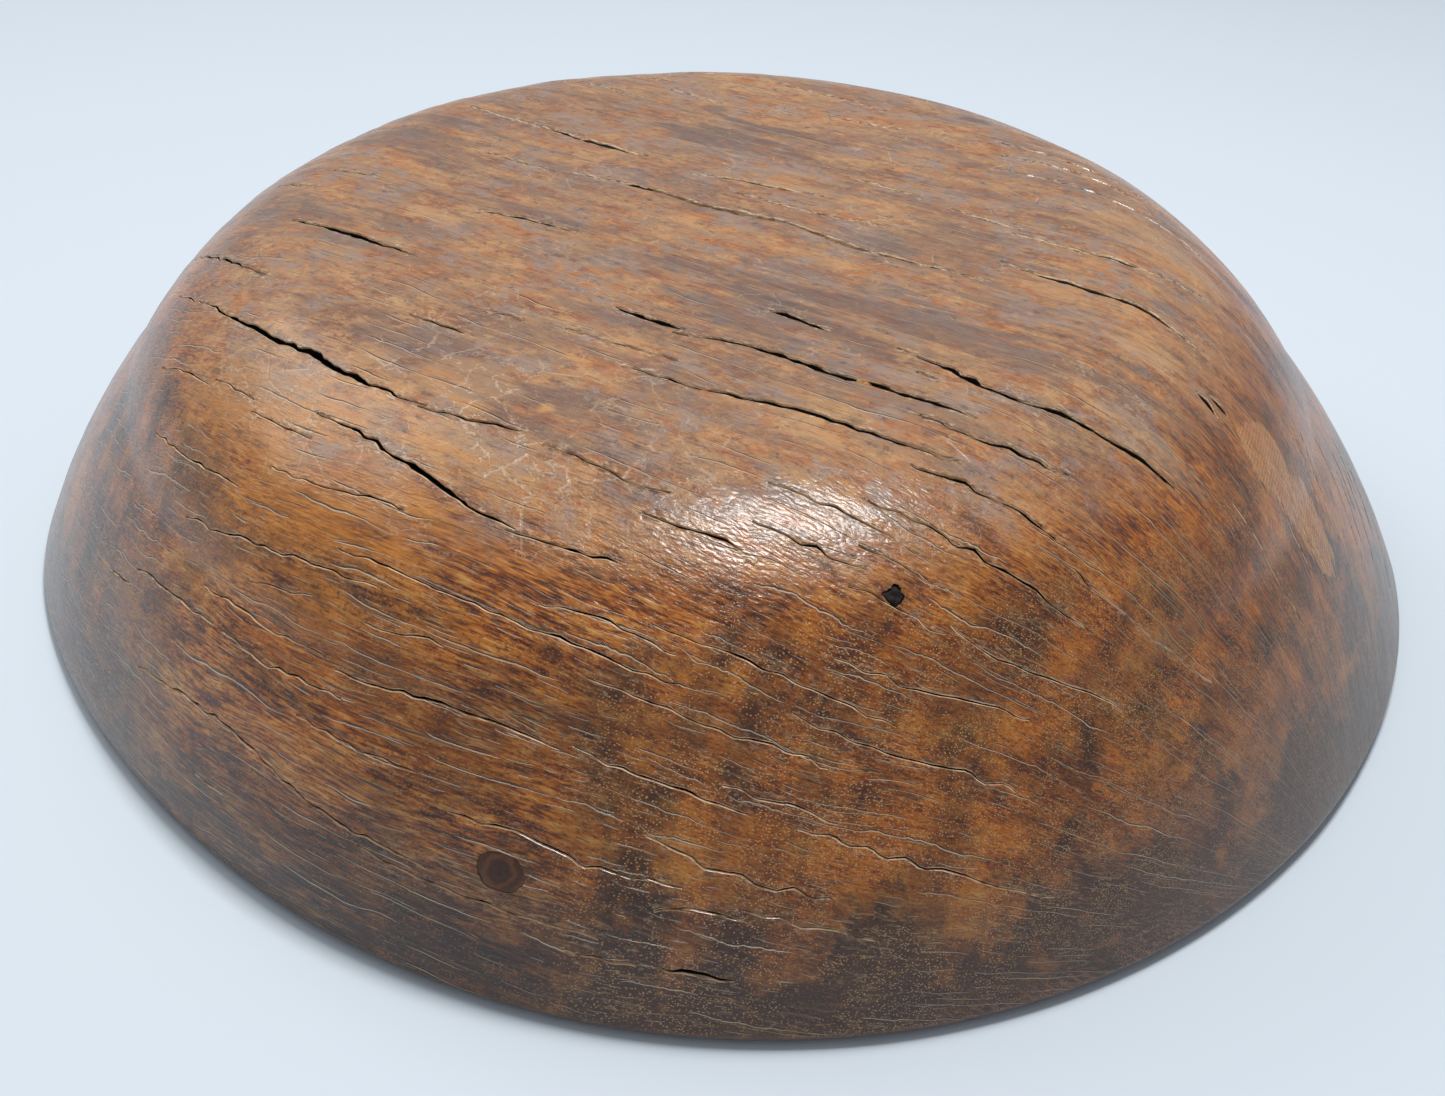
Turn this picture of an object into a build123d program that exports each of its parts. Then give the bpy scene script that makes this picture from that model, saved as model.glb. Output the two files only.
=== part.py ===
from build123d import *
import os
from math import asin, atan2, cos, hypot, pi, radians, sin, sqrt

# A heavy serving bowl carved from one block of hardwood, lying mouth down on its rim.
# Millimetres and degrees.  +Z is up, out of the foot.  +X runs along the grain, which is
# also the bowl's long way across.  The origin is in the rim plane, in the middle of the
# rim's outline.  One block, the knots grown into it, and what has packed into its open
# drying checks: those are all the pieces that there are.

# ---------------------------------------------------------------- driving dimensions
RIM_RADIUS = 200.0  # mean radius of the outline at the rim
HEIGHT = 102.0  # rim plane to foot plane
FOOT_RADIUS = 114.0  # mean radius where the flat foot turns into the shoulder
SHOULDER_RADIUS = 65.5  # the round shoulder between foot and wall
WALL_BELLY = 3.8  # how far the wall bulges out of a straight line
RIM_WALL = 11.0  # thickness of the wall at the rim
FLOOR_THICKNESS = 22.0  # wood left between the hollow and the foot
HOLLOW_SQUARENESS = 6.0  # exponent of the hollow's curve: higher is flatter, steeper
LIP_RADIUS = 2.5  # rounding of the rim's two edges

# Hand carving and seasoning leave the plan out of round.  Each term is a share of the
# radius, largest in the direction of its axis.
RIM_OVAL = 0.024
RIM_OVAL_AXIS = 13.0
RIM_THREE_LOBES = 0.042
RIM_LOBE_AXIS = -53.0
FOOT_OVAL = 0.09
FOOT_OVAL_AXIS = -53.0
FOOT_OFFSET = Vector(-7.0, 3.0)  # the foot's middle stands off the rim's middle

# Growth centre (pith) of the log: a line along X below the rim plane.  Drying checks open
# in planes that contain it, so they lean outwards with the distance from the middle.
PITH_Y = -3.3
PITH_DEPTH = 35.0

# Widest drying checks: x of the middle, lean of the radial plane, slope off the grain,
# length, width, depth.  A lean of 0 is straight up, a negative one is towards -Y.
OPEN_CHECKS = {
    "centre": (19, 2.9, 0.5, 140, 1.6, 7),
    "centre_left": (-41, -13.5, 0, 38, 1.3, 5),
    "back_left": (-52, 13.5, 0, 50, 1.4, 6),
    "back_middle": (-2, 12, 11, 40, 1.5, 6),
    "back_right": (111, 18, 12, 34, 1.6, 5),
    "right_upper": (104, 8.7, -3, 54, 1.3, 5),
    "right_lower": (122, -17.4, 4, 70, 1.5, 6),
    "short_right": (56, -17.2, -4, 17, 1.6, 5),
    "short_middle": (27, -24.7, 0, 18, 1.6, 5),
    "front_upper": (74, -24.4, 5, 78, 1.4, 6),
    "front_right": (128, -26.5, 6, 34, 1.3, 5),
    "front_middle": (79, -31.3, 5, 84, 1.5, 6),
    "front_corner": (131, -32, 3, 32, 1.4, 5),
    "left_upper": (-69, -26.7, 0, 44, 1.5, 6),
    "left_shoulder": (-92, -35, -4, 46, 1.2, 5),
    "long_shoulder": (-54, -41.7, -6, 82, 1.8, 7),
    "long_shoulder_end": (14, -43.4, 1, 40, 1.0, 5),
    "corner_lumps": (134, -37.3, -1, 42, 1.1, 5),
    "corner_brow": (108, -42.7, 0, 24, 1.0, 4),
    "brow_right": (86, -45, 1, 22, 1.0, 4),
    "brow": (48, -49.2, -1, 56, 1.2, 5),
    "wall_upper": (58, -54.6, 0, 70, 0.9, 4),
    "wall_middle": (52, -61.1, 1, 56, 1.0, 4),
    "wall_low": (12, -69.6, -4, 84, 1.0, 4),
}
# Checks wide enough to have filled with grit, oil and dust, and with lumps of old wax
GRIT_FILLED = ("centre", "back_left", "back_middle", "back_right", "right_lower", "left_upper")
WAX_FILLED = ("centre", "front_upper", "front_middle")
FILL_SHARE = 0.55  # how much of a check's depth the packing takes up
PACKED_SHARE = 0.7  # how much of a check's length it takes up
WAX_LUMP_LENGTH = 4.0
WAX_LUMP_PLACE = 0.2  # along the check, as a share of its length from the middle

# Knots: a black dead one in the front shoulder, a larger sound one low in the front wall.
# Surface radius, depth, share of the radius left at the bottom, x, lean.
KNOTS = {
    "pin_knot": (3.2, 9.0, 0.5, 127.0, -43.3),
    "wall_knot": (5.5, 11.0, 0.6, 77.0, -69.5),
}

# ---------------------------------------------------------------- working values
OUTLINE_POINTS = 24
WALL_STEPS = 4
SHOULDER_STEPS = 6
PLANING = 0.4  # stock that is planed off flat at the rim and at the foot
OUTSIDE = 6.0  # how far a cutter starts outside the wood
SKIN = 0.5  # how far a wax lump stays below the surface


def growth(angle, level):
    """Share by which the outline's radius differs from its mean, at a level from 0 to 1."""
    oval = RIM_OVAL * cos(radians(2 * (angle - RIM_OVAL_AXIS)))
    lobes = RIM_THREE_LOBES * cos(radians(3 * (angle - RIM_LOBE_AXIS)))
    foot = FOOT_OVAL * cos(radians(2 * (angle - FOOT_OVAL_AXIS)))
    return (1 - level) * (oval + lobes) + level * foot


def outline(radius, level):
    """Points round the bowl at one level, before it is centred on its rim."""
    points = []
    for step in range(OUTLINE_POINTS):
        angle = 360.0 * step / OUTLINE_POINTS
        reach = radius * (1 + growth(angle, level))
        place = Vector(reach * cos(radians(angle)), reach * sin(radians(angle)))
        points.append(place + FOOT_OFFSET * level)
    return points


def rim_middle():
    """Middle of the rim outline's box, which becomes the origin."""
    ring = Edge.make_spline(outline(RIM_RADIUS, 0), periodic=True)
    box = ring.bounding_box()
    return Vector(box.center().X, box.center().Y)


RIM_MIDDLE = rim_middle()


def section(radius, z, full_height):
    """Closed wire round the bowl at height z."""
    level = z / full_height
    points = [p - RIM_MIDDLE + Vector(0, 0, z) for p in outline(radius, level)]
    return Wire([Edge.make_spline(points, periodic=True)])


def outer_profile():
    """Radius and height up the outside: bellied wall, then the shoulder's arc."""
    centre_z = HEIGHT + PLANING - SHOULDER_RADIUS
    across = FOOT_RADIUS - RIM_RADIUS
    distance = hypot(across, centre_z)
    wall_length = sqrt(distance**2 - SHOULDER_RADIUS**2)
    lean = atan2(centre_z, across) - asin(SHOULDER_RADIUS / distance)
    places = []
    for step in range(-1, WALL_STEPS):
        share = step / WALL_STEPS
        belly = 4 * WALL_BELLY * share * (1 - share)
        radius = RIM_RADIUS + wall_length * share * cos(lean) + belly * sin(lean)
        places.append((radius, wall_length * share * sin(lean) - belly * cos(lean)))
    start = lean - pi / 2
    for step in range(SHOULDER_STEPS + 1):
        turn = start + (pi / 2 - start) * step / SHOULDER_STEPS
        radius = FOOT_RADIUS + SHOULDER_RADIUS * cos(turn)
        places.append((radius, centre_z + SHOULDER_RADIUS * sin(turn)))
    return places


def hollow_profile():
    """Radius and height up the inside, from just outside the mouth to the floor."""
    mouth = RIM_RADIUS - RIM_WALL
    depth = HEIGHT - FLOOR_THICKNESS
    shares = (1.02, 1.0, 0.965, 0.92, 0.87, 0.8, 0.7, 0.55, 0.35)
    return [(mouth * share, depth * (1 - share**HOLLOW_SQUARENESS)) for share in shares]


def carved_blank():
    """The block with its outside carved and its rim and foot planed flat."""
    full_height = HEIGHT + PLANING
    stock = Solid.make_loft([section(r, z, full_height) for r, z in outer_profile()])
    side = 4 * RIM_RADIUS
    keep = Pos(0, 0, HEIGHT / 2) * Box(side, side, HEIGHT)
    return stock & keep


def hollow():
    """Everything that is cut out of the block to make the inside."""
    places = hollow_profile()
    depth = HEIGHT - FLOOR_THICKNESS
    return Solid.make_loft([section(r, z, depth) for r, z in places])


def carved_bowl():
    """Blank less hollow, with both edges of the rim rounded over."""
    body = carved_blank() - hollow()
    rim = body.faces().sort_by(Axis.Z)[0]
    return body.fillet(LIP_RADIUS, rim.edges())


def out_of_pith(lean):
    """Unit vector from the pith line towards the bark, at a lean from straight up."""
    return Vector(0, sin(radians(lean)), cos(radians(lean)))


def surface_point(x, lean):
    """Where the radial line at x and this lean leaves the wood."""
    start = Vector(x, PITH_Y, -PITH_DEPTH)
    line = Axis(start, out_of_pith(lean))
    hits = WHOLE.find_intersection_points(line)
    return max((point for point, normal in hits), key=lambda point: (point - start).length)


def radial_plane(x, lean, slope):
    """Plane on the surface, with its Z out along the radial line and its X near the grain."""
    out = out_of_pith(lean)
    grain = Vector(1, 0, 0).rotate(Axis((0, 0, 0), out), slope)
    return Plane(surface_point(x, lean), x_dir=grain, z_dir=out)


def lens(length, width):
    """Plan of a check: two shallow arcs that meet in a point at each end."""
    tip = Vector(length / 2, 0)
    side = Vector(0, width / 2)
    upper = ThreePointArc(-tip, side, tip)
    lower = ThreePointArc(tip, -side, -tip)
    return make_face([upper, lower])


def blade(name, top, bottom):
    """One check's shape between two depths below the surface, less than none for outside."""
    x, lean, slope, length, width, _ = OPEN_CHECKS[name]
    plane = radial_plane(x, lean, slope).offset(-bottom)
    return extrude(plane * lens(length, width), amount=bottom - top, dir=plane.z_dir)


def stretch(name, start, end):
    """Slab across one check, between two places given as lengths from its middle."""
    x, lean, slope, length, _, depth = OPEN_CHECKS[name]
    plane = radial_plane(x, lean, slope)
    slab = Box(end - start, length, 4 * depth)
    return plane * Pos((start + end) / 2, 0, 0) * slab


def packing(name):
    """Grit and dust packed into the bottom of one check, with blunt ends."""
    length, depth = OPEN_CHECKS[name][3], OPEN_CHECKS[name][5]
    reach = PACKED_SHARE * length / 2
    return blade(name, depth * (1 - FILL_SHARE), depth) & stretch(name, -reach, reach)


def wax_lump(name):
    """Lump of old wax, on the packing where there is any and on the bottom elsewhere."""
    length, depth = OPEN_CHECKS[name][3], OPEN_CHECKS[name][5]
    bottom = depth * (1 - FILL_SHARE) if name in GRIT_FILLED else depth
    place = WAX_LUMP_PLACE * length
    part = stretch(name, place, place + WAX_LUMP_LENGTH)
    return blade(name, SKIN, bottom) & part


def knot_socket(name):
    """Tapered pocket that a knot grew in, started outside the wood."""
    radius, depth, share, x, lean = KNOTS[name]
    taper = radius * (1 - share) / depth
    mouth = radius + taper * OUTSIDE
    plane = radial_plane(x, lean, 0).offset(-depth)
    cone = Cone(radius * share, mouth, depth + OUTSIDE, align=(Align.CENTER, Align.CENTER, Align.MIN))
    return plane * cone


def save(name, pieces):
    """Write one node, a group of separate solids where it has several pieces."""
    solids = [solid for piece in pieces for solid in piece.solids()]
    node = solids[0] if len(solids) == 1 else Compound(children=solids)
    node.label = name
    export_step(node, f"parts/{name}.step")
    volume = sum(solid.volume for solid in solids)
    print(f"{name}: {len(solids)} solids, {volume / 1000:.2f} cm3")


WHOLE = carved_bowl()

os.makedirs("parts", exist_ok=True)
bowl_body = WHOLE
for check in OPEN_CHECKS:
    bowl_body -= blade(check, -OUTSIDE, OPEN_CHECKS[check][5])
for knot in KNOTS:
    bowl_body -= knot_socket(knot)
    save(knot, [WHOLE & knot_socket(knot)])
save("bowl_body", [bowl_body])
save("check_packing", [WHOLE & packing(check) for check in GRIT_FILLED])
save("wax_lumps", [WHOLE & wax_lump(check) for check in WAX_FILLED])
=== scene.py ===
import math
import random

import bmesh
import bpy
import numpy as np
from mathutils import Matrix, Vector
from mathutils.bvhtree import BVHTree
from mathutils.kdtree import KDTree


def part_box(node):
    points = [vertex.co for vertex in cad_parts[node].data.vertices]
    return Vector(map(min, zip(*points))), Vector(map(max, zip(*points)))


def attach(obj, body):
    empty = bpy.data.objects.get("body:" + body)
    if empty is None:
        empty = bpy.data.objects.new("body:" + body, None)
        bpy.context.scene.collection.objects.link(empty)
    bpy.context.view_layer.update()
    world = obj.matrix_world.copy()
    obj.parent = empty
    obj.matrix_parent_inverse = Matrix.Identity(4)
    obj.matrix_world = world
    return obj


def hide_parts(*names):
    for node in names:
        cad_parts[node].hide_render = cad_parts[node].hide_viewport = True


# A heavy bowl carved from one block of hardwood, lying mouth down on its rim, old, oiled,
# and checked along the grain.  +X runs along the grain.  Lengths in the tables below are
# in millimetres and angles in degrees; every mesh is in metres.

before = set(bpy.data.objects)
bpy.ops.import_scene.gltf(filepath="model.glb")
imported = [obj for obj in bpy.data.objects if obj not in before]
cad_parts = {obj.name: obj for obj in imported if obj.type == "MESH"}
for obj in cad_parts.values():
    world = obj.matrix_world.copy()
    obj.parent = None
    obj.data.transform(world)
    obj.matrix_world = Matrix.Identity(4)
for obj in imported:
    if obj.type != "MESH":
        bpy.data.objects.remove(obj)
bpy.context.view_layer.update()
MM = 0.001
SEED = 7

# ---------------- shape of the bowl
# The profile is a flat foot, an arc for the shoulder and a slightly bellied straight wall.
# The ovals and lobes are shares of the radius, and each axis is where one is largest.
RIM_RADIUS = 200.0
HEIGHT = 102.0
FOOT_RADIUS = 114.0
SHOULDER_RADIUS = 65.5
WALL_BELLY = 3.8
RIM_WALL = 11.0
FLOOR_THICKNESS = 22.0
HOLLOW_SQUARENESS = 6.0
LIP_RADIUS = 2.5
RIM_OVAL = 0.024
RIM_OVAL_AXIS = 13.0
RIM_THREE_LOBES = 0.042
RIM_LOBE_AXIS = -53.0
FOOT_OVAL = 0.09
FOOT_OVAL_AXIS = -53.0
FOOT_OFFSET = np.array([-7.0, 3.0])
ALONG_GRAIN = Vector((1, 0, 0))
PITH_Y = -3.3
PITH_DEPTH = 35.0
CHORD_RADIUS = 170.0  # millimetres of surface for each radian of lean, near enough
MM_PER_DEGREE = CHORD_RADIUS * math.radians(1)

# The meshes of the outside and of the hollow, and how the rim has warped off the table.
OUTER_CELLS = 220
INNER_CELLS = 90
OUTER_LIP_STEPS = 6
INNER_LIP_STEPS = 3
NEAR_THE_LIP = 0.995
LIP_WARP = 1.1
WARP_AXIS = 110.0
WARP_REACH = 16.0
BOX_MARGIN = 0.02
SEARCH_FROM = 400.0 * MM

# Relief of the wood.  Each noise has a size, along, round and out from the pith where it
# follows the grain, a strength and a seed; the heights scale them to millimetres.
CARVING = ((90.0, 1.1, 1), (34.0, 0.5, 2))
RIDGES = (((70.0, 7.0, 12.0), 1.0, 3), ((45.0, 4.5, 8.0), 0.6, 4))
POCKS = (((16.0, 6.0, 9.0), 1.0, 5),)
CARVING_HEIGHT = 0.5
RIDGE_HEIGHT = 0.22
POCK_DEPTH = 0.5
POCKS_ABOVE = 0.45
WORN_FROM = 55.0
WORN_REACH = 45.0
LEAST_WORN = 0.25
RIM_FADE = 6.0
LEAST_AT_RIM = 0.15
INSIDE_RELIEF = 0.6

# ---------------- the knots
# Name of the CAD node, x and lean, radius along and across the grain, how uneven its edge is,
# the gap round it, how far its top lies below the wood, and how rough the top is.
KNOTS = {
    "dead_pin_knot": ("pin_knot", 119.0, -43.3, 2.1, 1.8, 0.4, 0.25, 0.5, 0.4),
    "sound_wall_knot": ("wall_knot", 69.0, -69.5, 5.6, 4.4, 0.08, 0.05, 0.0, 0.04),
}
KNOT_DEPTH = 7.0
KNOT_TAPER = 0.8
KNOT_SPOKES = 40
KNOT_RINGS = 7
# The plug's slack at its foot, the lumps and radial splits of its top, and its socket.
KNOT_SLACK = 0.97
KNOT_LIFT = 0.4
KNOT_LUMP = 1.1
KNOT_SPLITS = 3
SPLIT_TWIST = 4
SPLIT_ABOVE = 0.8
SPLIT_DEPTH = 4
KNOT_EDGE_DROP = 0.25
KNOT_HIGHEST = 0.3
SOCKET_TOP = 2.5
SOCKET_FLARE = 1.05

# ---------------- what fills the checks
GRIT_CHECKS = (0, 2, 8, 9, 12, 15)  # rows of FOOT_CHECKS
# Levels are shares of a check's depth.  Loose grains lie on and beside the ribbon of grit.
GRIT_NARROWEST = 0.5
GRIT_TOP = 0.42
GRIT_FOOT = 0.85
GRIT_UNEVEN = 0.16
GRIT_CROWN = (-0.2, 0.35)
GRAINS_PER_MM = 0.9
GRAIN_LEVELS = (0.12, 0.5)
GRAIN_SIZES = (0.14, 0.34)
GRAIN_LENGTH = 1.3
GRAIN_SPREAD = 0.7
WAX_LUMPS = ((0, 47.0), (0, 70.0), (15, 79.0))  # row of FOOT_CHECKS and x
WAX_SIZE = (1.9, 1.0, 0.8)
WAX_LEVEL = 0.12
LUMP_DETAIL = 2
LUMP_SWELL = 0.28
LUMP_RIPPLE = 0.16

# How far from a check's line the wood is marked, and how fast the mark for its edge fades.
MARK_REACH = 9.0
LIP_REACH = 1.1

# ---------------- size of a check
# Along it: its steps, its slow wander, and its jogs from fibre to fibre, which grow on the ends.
STEP = 1.3
MIN_STEPS = 6
WANDER = 0.45
JITTER = 0.42
END_ZIGZAG = 1.3
END_FROM = 90.0
END_REACH = 40.0
SLOW_LENGTH = 12.0
QUICK_LENGTH = 3.2
RAGGED_LENGTH = 2.1
# Across it: shares of its width, and how torn its edges are.
MEAN_GAPE = 0.8
SLOW_GAPE = 0.35
QUICK_GAPE = 0.25
RAGGED_GAPE = 0.3
RAG = 0.22
SWELL = 0.55
TIP_SHARE = 0.004
THIN_END = 0.12
# Down it: how deep it is, how far its blade stands out, and the chamfer of its lips.
SHALLOWEST = 2.2
DEPTH_PER_WIDTH = 2.6
TIP_DEPTH = 0.3
OVERSHOOT = 1.4
LIP_DEPTH = 0.4
LIP_WIDTH = 0.28
BOTTOM_SHARE = 0.2
FULL_RAG_WIDTH = 1.0
THINNEST = 0.02

OTHER_CHECKS = 64
SHARE_AT_ENDS = 0.3
END_STARTS = (-184, 150)
LEAN_DRIFT = 0.8
# Their ranges of lean, length, start and width, and the power that makes most of them thin.
ON_ENDS = ((-20, 70), (10, 22), (0, 12), (0.25, 0.6), 1.0)
BEHIND = ((30, 76), (16, 75), (-150, 90), (0.35, 1.3), 1.3)
END_CLEARANCE = 4
RIM_CLEARANCE = 8
LEAN_APART = 1.6
X_APART = 12

# ---------------- places on the wood
# Places on the wood are an x along the grain, from GRAIN_X, and either a y across it, from
# the plane of the pith, or the lean of the ray that runs out from the pith, in degrees.
GRAIN_X = 8.0

# Checks on the foot: width, then x and y.
FOOT_CHECKS = (
    (3.4, (-61, 6), (-45, 8), (-27, 8.5), (-14, 7), (2, 9), (12, 11.5), (23, 9.5), (36, 7), (58, 8.2),
     (76, 9.5)),
    (0.7, (-92, 4), (-66, 3.5)),
    (2.2, (-95, 33), (-70, 31), (-52, 31)),
    (1.2, (-125, 34), (-97, 32)),
    (2.2, (-32, 26), (-18, 31), (-2, 33), (8, 34.5)),
    (0.8, (-12, 21.5), (12, 21), (35, 24)),
    (1.8, (43, 48), (66, 46.5)),
    (0.8, (65, 42), (86, 42)),
    (1.9, (86, 41), (102, 43), (120, 48.5)),
    (2.2, (72, 23), (85, 20.5), (100, 19.5), (116, 20), (131, 16.5)),
    (0.7, (8, 53), (32, 51)),
    (2.4, (40, -40.5), (48, -40.5), (57, -42.5)),
    (2.3, (77, -40.5), (89, -42.8), (101, -46), (113, -46), (130, -42), (150, -37)),
    (0.9, (87, -49), (92, -49.5)),
    (2.5, (8, -62.5), (29, -62.8)),
    (1.9, (28, -66), (45, -60.4), (59, -60.6), (71, -62), (82, -61), (95, -61.6), (108, -60)),
    (1.1, (98, -68), (115, -66), (132, -60)),
    (1.8, (-100, -68), (-78, -69.5), (-54, -68)),
    (1.3, (-62, -34), (-46, -31), (-30, -30.5)),
    (1.4, (-118, -34), (-104, -32)),
    (0.7, (-134, -42), (-112, -47)),
    (0.7, (-30, -96), (-12, -97)),
    (1.6, (138, -2), (145, -2.6)),
    (1.2, (140, 1.5), (146, 1)),
)

# Checks on the shoulder and the wall in front: width, then x and lean.
FRONT_CHECKS = (
    (0.5, (-116, -39.4), (-94, -40.4)),
    (1.5, (-92, -40.6), (-65, -41.9), (-50, -42.5), (-37, -42.8), (-27, -43.4), (-16, -43.6), (6, -43.7)),
    (0.9, (4, -43.9), (14, -43.6), (31, -43.2)),
    (0.65, (-134, -32.8), (-108, -34.4), (-80, -36)),
    (0.4, (38, -43.2), (60, -43.5), (70, -43.3)),
    (0.6, (68, -45.3), (90, -44.8)),
    (0.6, (88, -42.7), (112, -42.6)),
    (0.6, (104, -37.2), (118, -37.2), (140, -37.5), (150, -37.8)),
    (1.1, (106, -32.5), (118, -31.8), (128, -31.3), (138, -32.3)),
    (0.4, (133, -31.5), (146, -31.8)),
    (1.1, (30, -33), (52, -32.3), (75, -31.2), (95, -31), (113, -30)),
    (0.55, (-17, -31.2), (-6, -31)),
    (0.4, (6, -30.2), (38, -29.9)),
    (1.1, (-18, -47), (-7, -47.1), (0, -47.4), (14, -48.1), (25, -48.8), (37, -49.3), (47, -49.5)),
    (0.9, (45, -49.6), (57, -49.2), (70, -49)),
    (0.3, (-38, -48.6), (-14, -49)),
    (0.25, (-60, -47.2), (-40, -47.8)),
    (0.3, (-92, -47.3), (-62, -47.7)),
    (0.45, (-20, -51.6), (0, -51.3), (12, -51.1), (21, -50.9)),
    (0.4, (-76, -52.9), (-55, -53.3), (-40, -53.6), (-28, -53.6)),
    (0.4, (-45, -57.3), (-20, -56.7), (0, -56.2), (24, -55.8)),
    (0.45, (10, -54.7), (40, -54.4), (75, -54.6), (93, -54.7)),
    (0.45, (82, -51.5), (100, -51.5), (122, -51.9), (129, -52)),
    (0.4, (112, -53.8), (122, -54), (135, -53.7), (151, -53.4)),
    (0.4, (115, -49.2), (128, -48.8), (148, -47.6)),
    (0.3, (75, -56), (95, -56.2), (121, -56.5)),
    (0.55, (19, -61.7), (35, -61.3), (50, -60.8), (74, -60.7)),
    (0.35, (76, -60.1), (88, -60.8), (111, -61.2)),
    (0.25, (-30, -61), (15, -61.2)),
    (0.3, (-18, -63.1), (-2, -63.4), (23, -63.2)),
    (0.3, (-62, -63.1), (-50, -62.7), (-22, -62.9)),
    (0.25, (12, -65.6), (46, -65.5)),
    (0.55, (-50, -69.3), (-30, -68.5), (-15, -68.6), (0, -69), (15, -70), (28, -70.8), (53, -70.9)),
    (0.25, (35, -71.8), (60, -72), (91, -71.9)),
    (0.4, (55, -67.2), (70, -66.6), (85, -67.2), (104, -66.8)),
    (0.3, (85, -73.3), (99, -73)),
    (0.8, (103, -72.8), (117, -72.7)),
    (0.35, (95, -64.4), (105, -65), (129, -65.6)),
    (0.35, (120, -61), (140, -61.3), (163, -61.6)),
    (0.35, (100, -69), (106, -68), (116, -68)),
    (0.4, (-20, -73.3), (-8, -73.7)),
    (0.25, (115, -67.3), (139, -67.5)),
    (0.35, (60, -52.9), (75, -52.6), (89, -52.8)),
    (0.25, (105, -59.5), (126, -60)),
    (0.25, (-76, -64.9), (-64, -64.4)),
    (0.35, (130, -43.6), (140, -44.3), (150, -43.5), (161, -42.2)),
    (0.35, (135, -33.5), (145, -33.9), (160, -34), (171, -33)),
    (0.25, (108, -41), (129, -40.9)),
    (0.25, (85, -39.3), (113, -39.3)),
    (0.25, (111, -44.2), (130, -44.1)),
    (0.25, (-12, -58.9), (8, -58)),
    (0.25, (24, -58.1), (44, -57.5)),
)


def growth(angle, level):
    """Share by which the outline's radius differs from its mean at a level from 0 to 1."""
    oval = RIM_OVAL * np.cos(2 * (angle - math.radians(RIM_OVAL_AXIS)))
    lobes = RIM_THREE_LOBES * np.cos(3 * (angle - math.radians(RIM_LOBE_AXIS)))
    foot = FOOT_OVAL * np.cos(2 * (angle - math.radians(FOOT_OVAL_AXIS)))
    return (1 - level) * (oval + lobes) + level * foot


def rim_middle():
    """Middle of the rim outline's box, which is the origin."""
    angle = np.linspace(0, 2 * math.pi, 720, endpoint=False)
    reach = RIM_RADIUS * (1 + growth(angle, 0.0))
    x, y = reach * np.cos(angle), reach * np.sin(angle)
    return np.array([(x.min() + x.max()) / 2, (y.min() + y.max()) / 2])


RIM_MIDDLE = rim_middle()


def round_the_bowl(radius, z, angle, full_height):
    """Points in millimetres from a profile's radius and height and the angle round it."""
    level = z / full_height
    reach = radius * (1 + growth(angle, level))
    x = reach * np.cos(angle) + FOOT_OFFSET[0] * level - RIM_MIDDLE[0]
    y = reach * np.sin(angle) + FOOT_OFFSET[1] * level - RIM_MIDDLE[1]
    return np.stack([x, y, z], axis=-1)


def wall_line():
    """Length of the straight wall and the angle that it leans at, in radians."""
    across = FOOT_RADIUS - RIM_RADIUS
    centre_z = HEIGHT - SHOULDER_RADIUS
    distance = math.hypot(across, centre_z)
    length = math.sqrt(distance**2 - SHOULDER_RADIUS**2)
    lean = math.atan2(centre_z, across) - math.asin(SHOULDER_RADIUS / distance)
    return length, lean


def outer_profile(travel):
    """Radius and height for a share of the way from the middle of the foot to the lip."""
    wall, lean = wall_line()
    turn_start = lean - math.pi / 2
    arc = SHOULDER_RADIUS * (math.pi / 2 - turn_start)
    lip_z = LIP_RADIUS * (1 + math.sin(turn_start))
    lip_share = lip_z / (wall * math.sin(lean))
    total = FOOT_RADIUS + arc + wall * (1 - lip_share)
    way = travel * total
    turn = math.pi / 2 - np.clip(way - FOOT_RADIUS, 0, arc) / SHOULDER_RADIUS
    radius = np.minimum(way, FOOT_RADIUS) + SHOULDER_RADIUS * np.cos(turn)
    z = HEIGHT - SHOULDER_RADIUS * (1 - np.sin(turn))
    down = np.clip(way - FOOT_RADIUS - arc, 0, None)
    share = down / wall
    belly = 4 * WALL_BELLY * share * (1 - share) * (down > 0)
    radius = radius - down * math.cos(lean) + belly * math.sin(lean)
    z = z - down * math.sin(lean) - belly * math.cos(lean)
    return radius, z


def hollow_profile(travel):
    """Radius and height for a share of the way from the middle of the floor to the lip."""
    mouth = RIM_RADIUS - RIM_WALL
    depth = HEIGHT - FLOOR_THICKNESS
    steepness = math.atan(mouth / (depth * HOLLOW_SQUARENESS))
    lip_z = LIP_RADIUS * (1 - math.sin(steepness))
    share = travel * (1 - lip_z / depth) ** (1 / HOLLOW_SQUARENESS)
    return mouth * share, depth * (1 - share**HOLLOW_SQUARENESS)


# ---------------- small helpers
# Large odd numbers that turn a cell's place and a seed into a number that looks random.
HASH_OF_CELL = np.array([73856093, 19349663, 83492791])
HASH_OF_SEED = 2654435761
HASH_MIXING = ((15, 0x2C1B3C6D), (12, 0x297A2D39))
HASH_BITS = 0xFFFFFFFF


def lattice_noise(points, seed):
    """Smooth noise from -1 to 1 at points whose cells are 1 apart."""
    base = np.floor(points).astype(np.int64)
    part = points - base
    part = part * part * (3 - 2 * part)
    total = np.zeros(len(points))
    for corner in np.ndindex(2, 2, 2):
        offset = np.array(corner)
        cell = base + offset
        key = np.bitwise_xor.reduce(cell * HASH_OF_CELL, axis=1)
        key = (key + seed * HASH_OF_SEED) & HASH_BITS
        for shift, factor in HASH_MIXING:
            key = ((key ^ (key >> shift)) * factor) & HASH_BITS
        value = ((key ^ (key >> 15)) & 0xFFFF) / 32767.5 - 1
        weight = np.prod(np.where(offset, part, 1 - part), axis=1)
        total += value * weight
    return total


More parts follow.
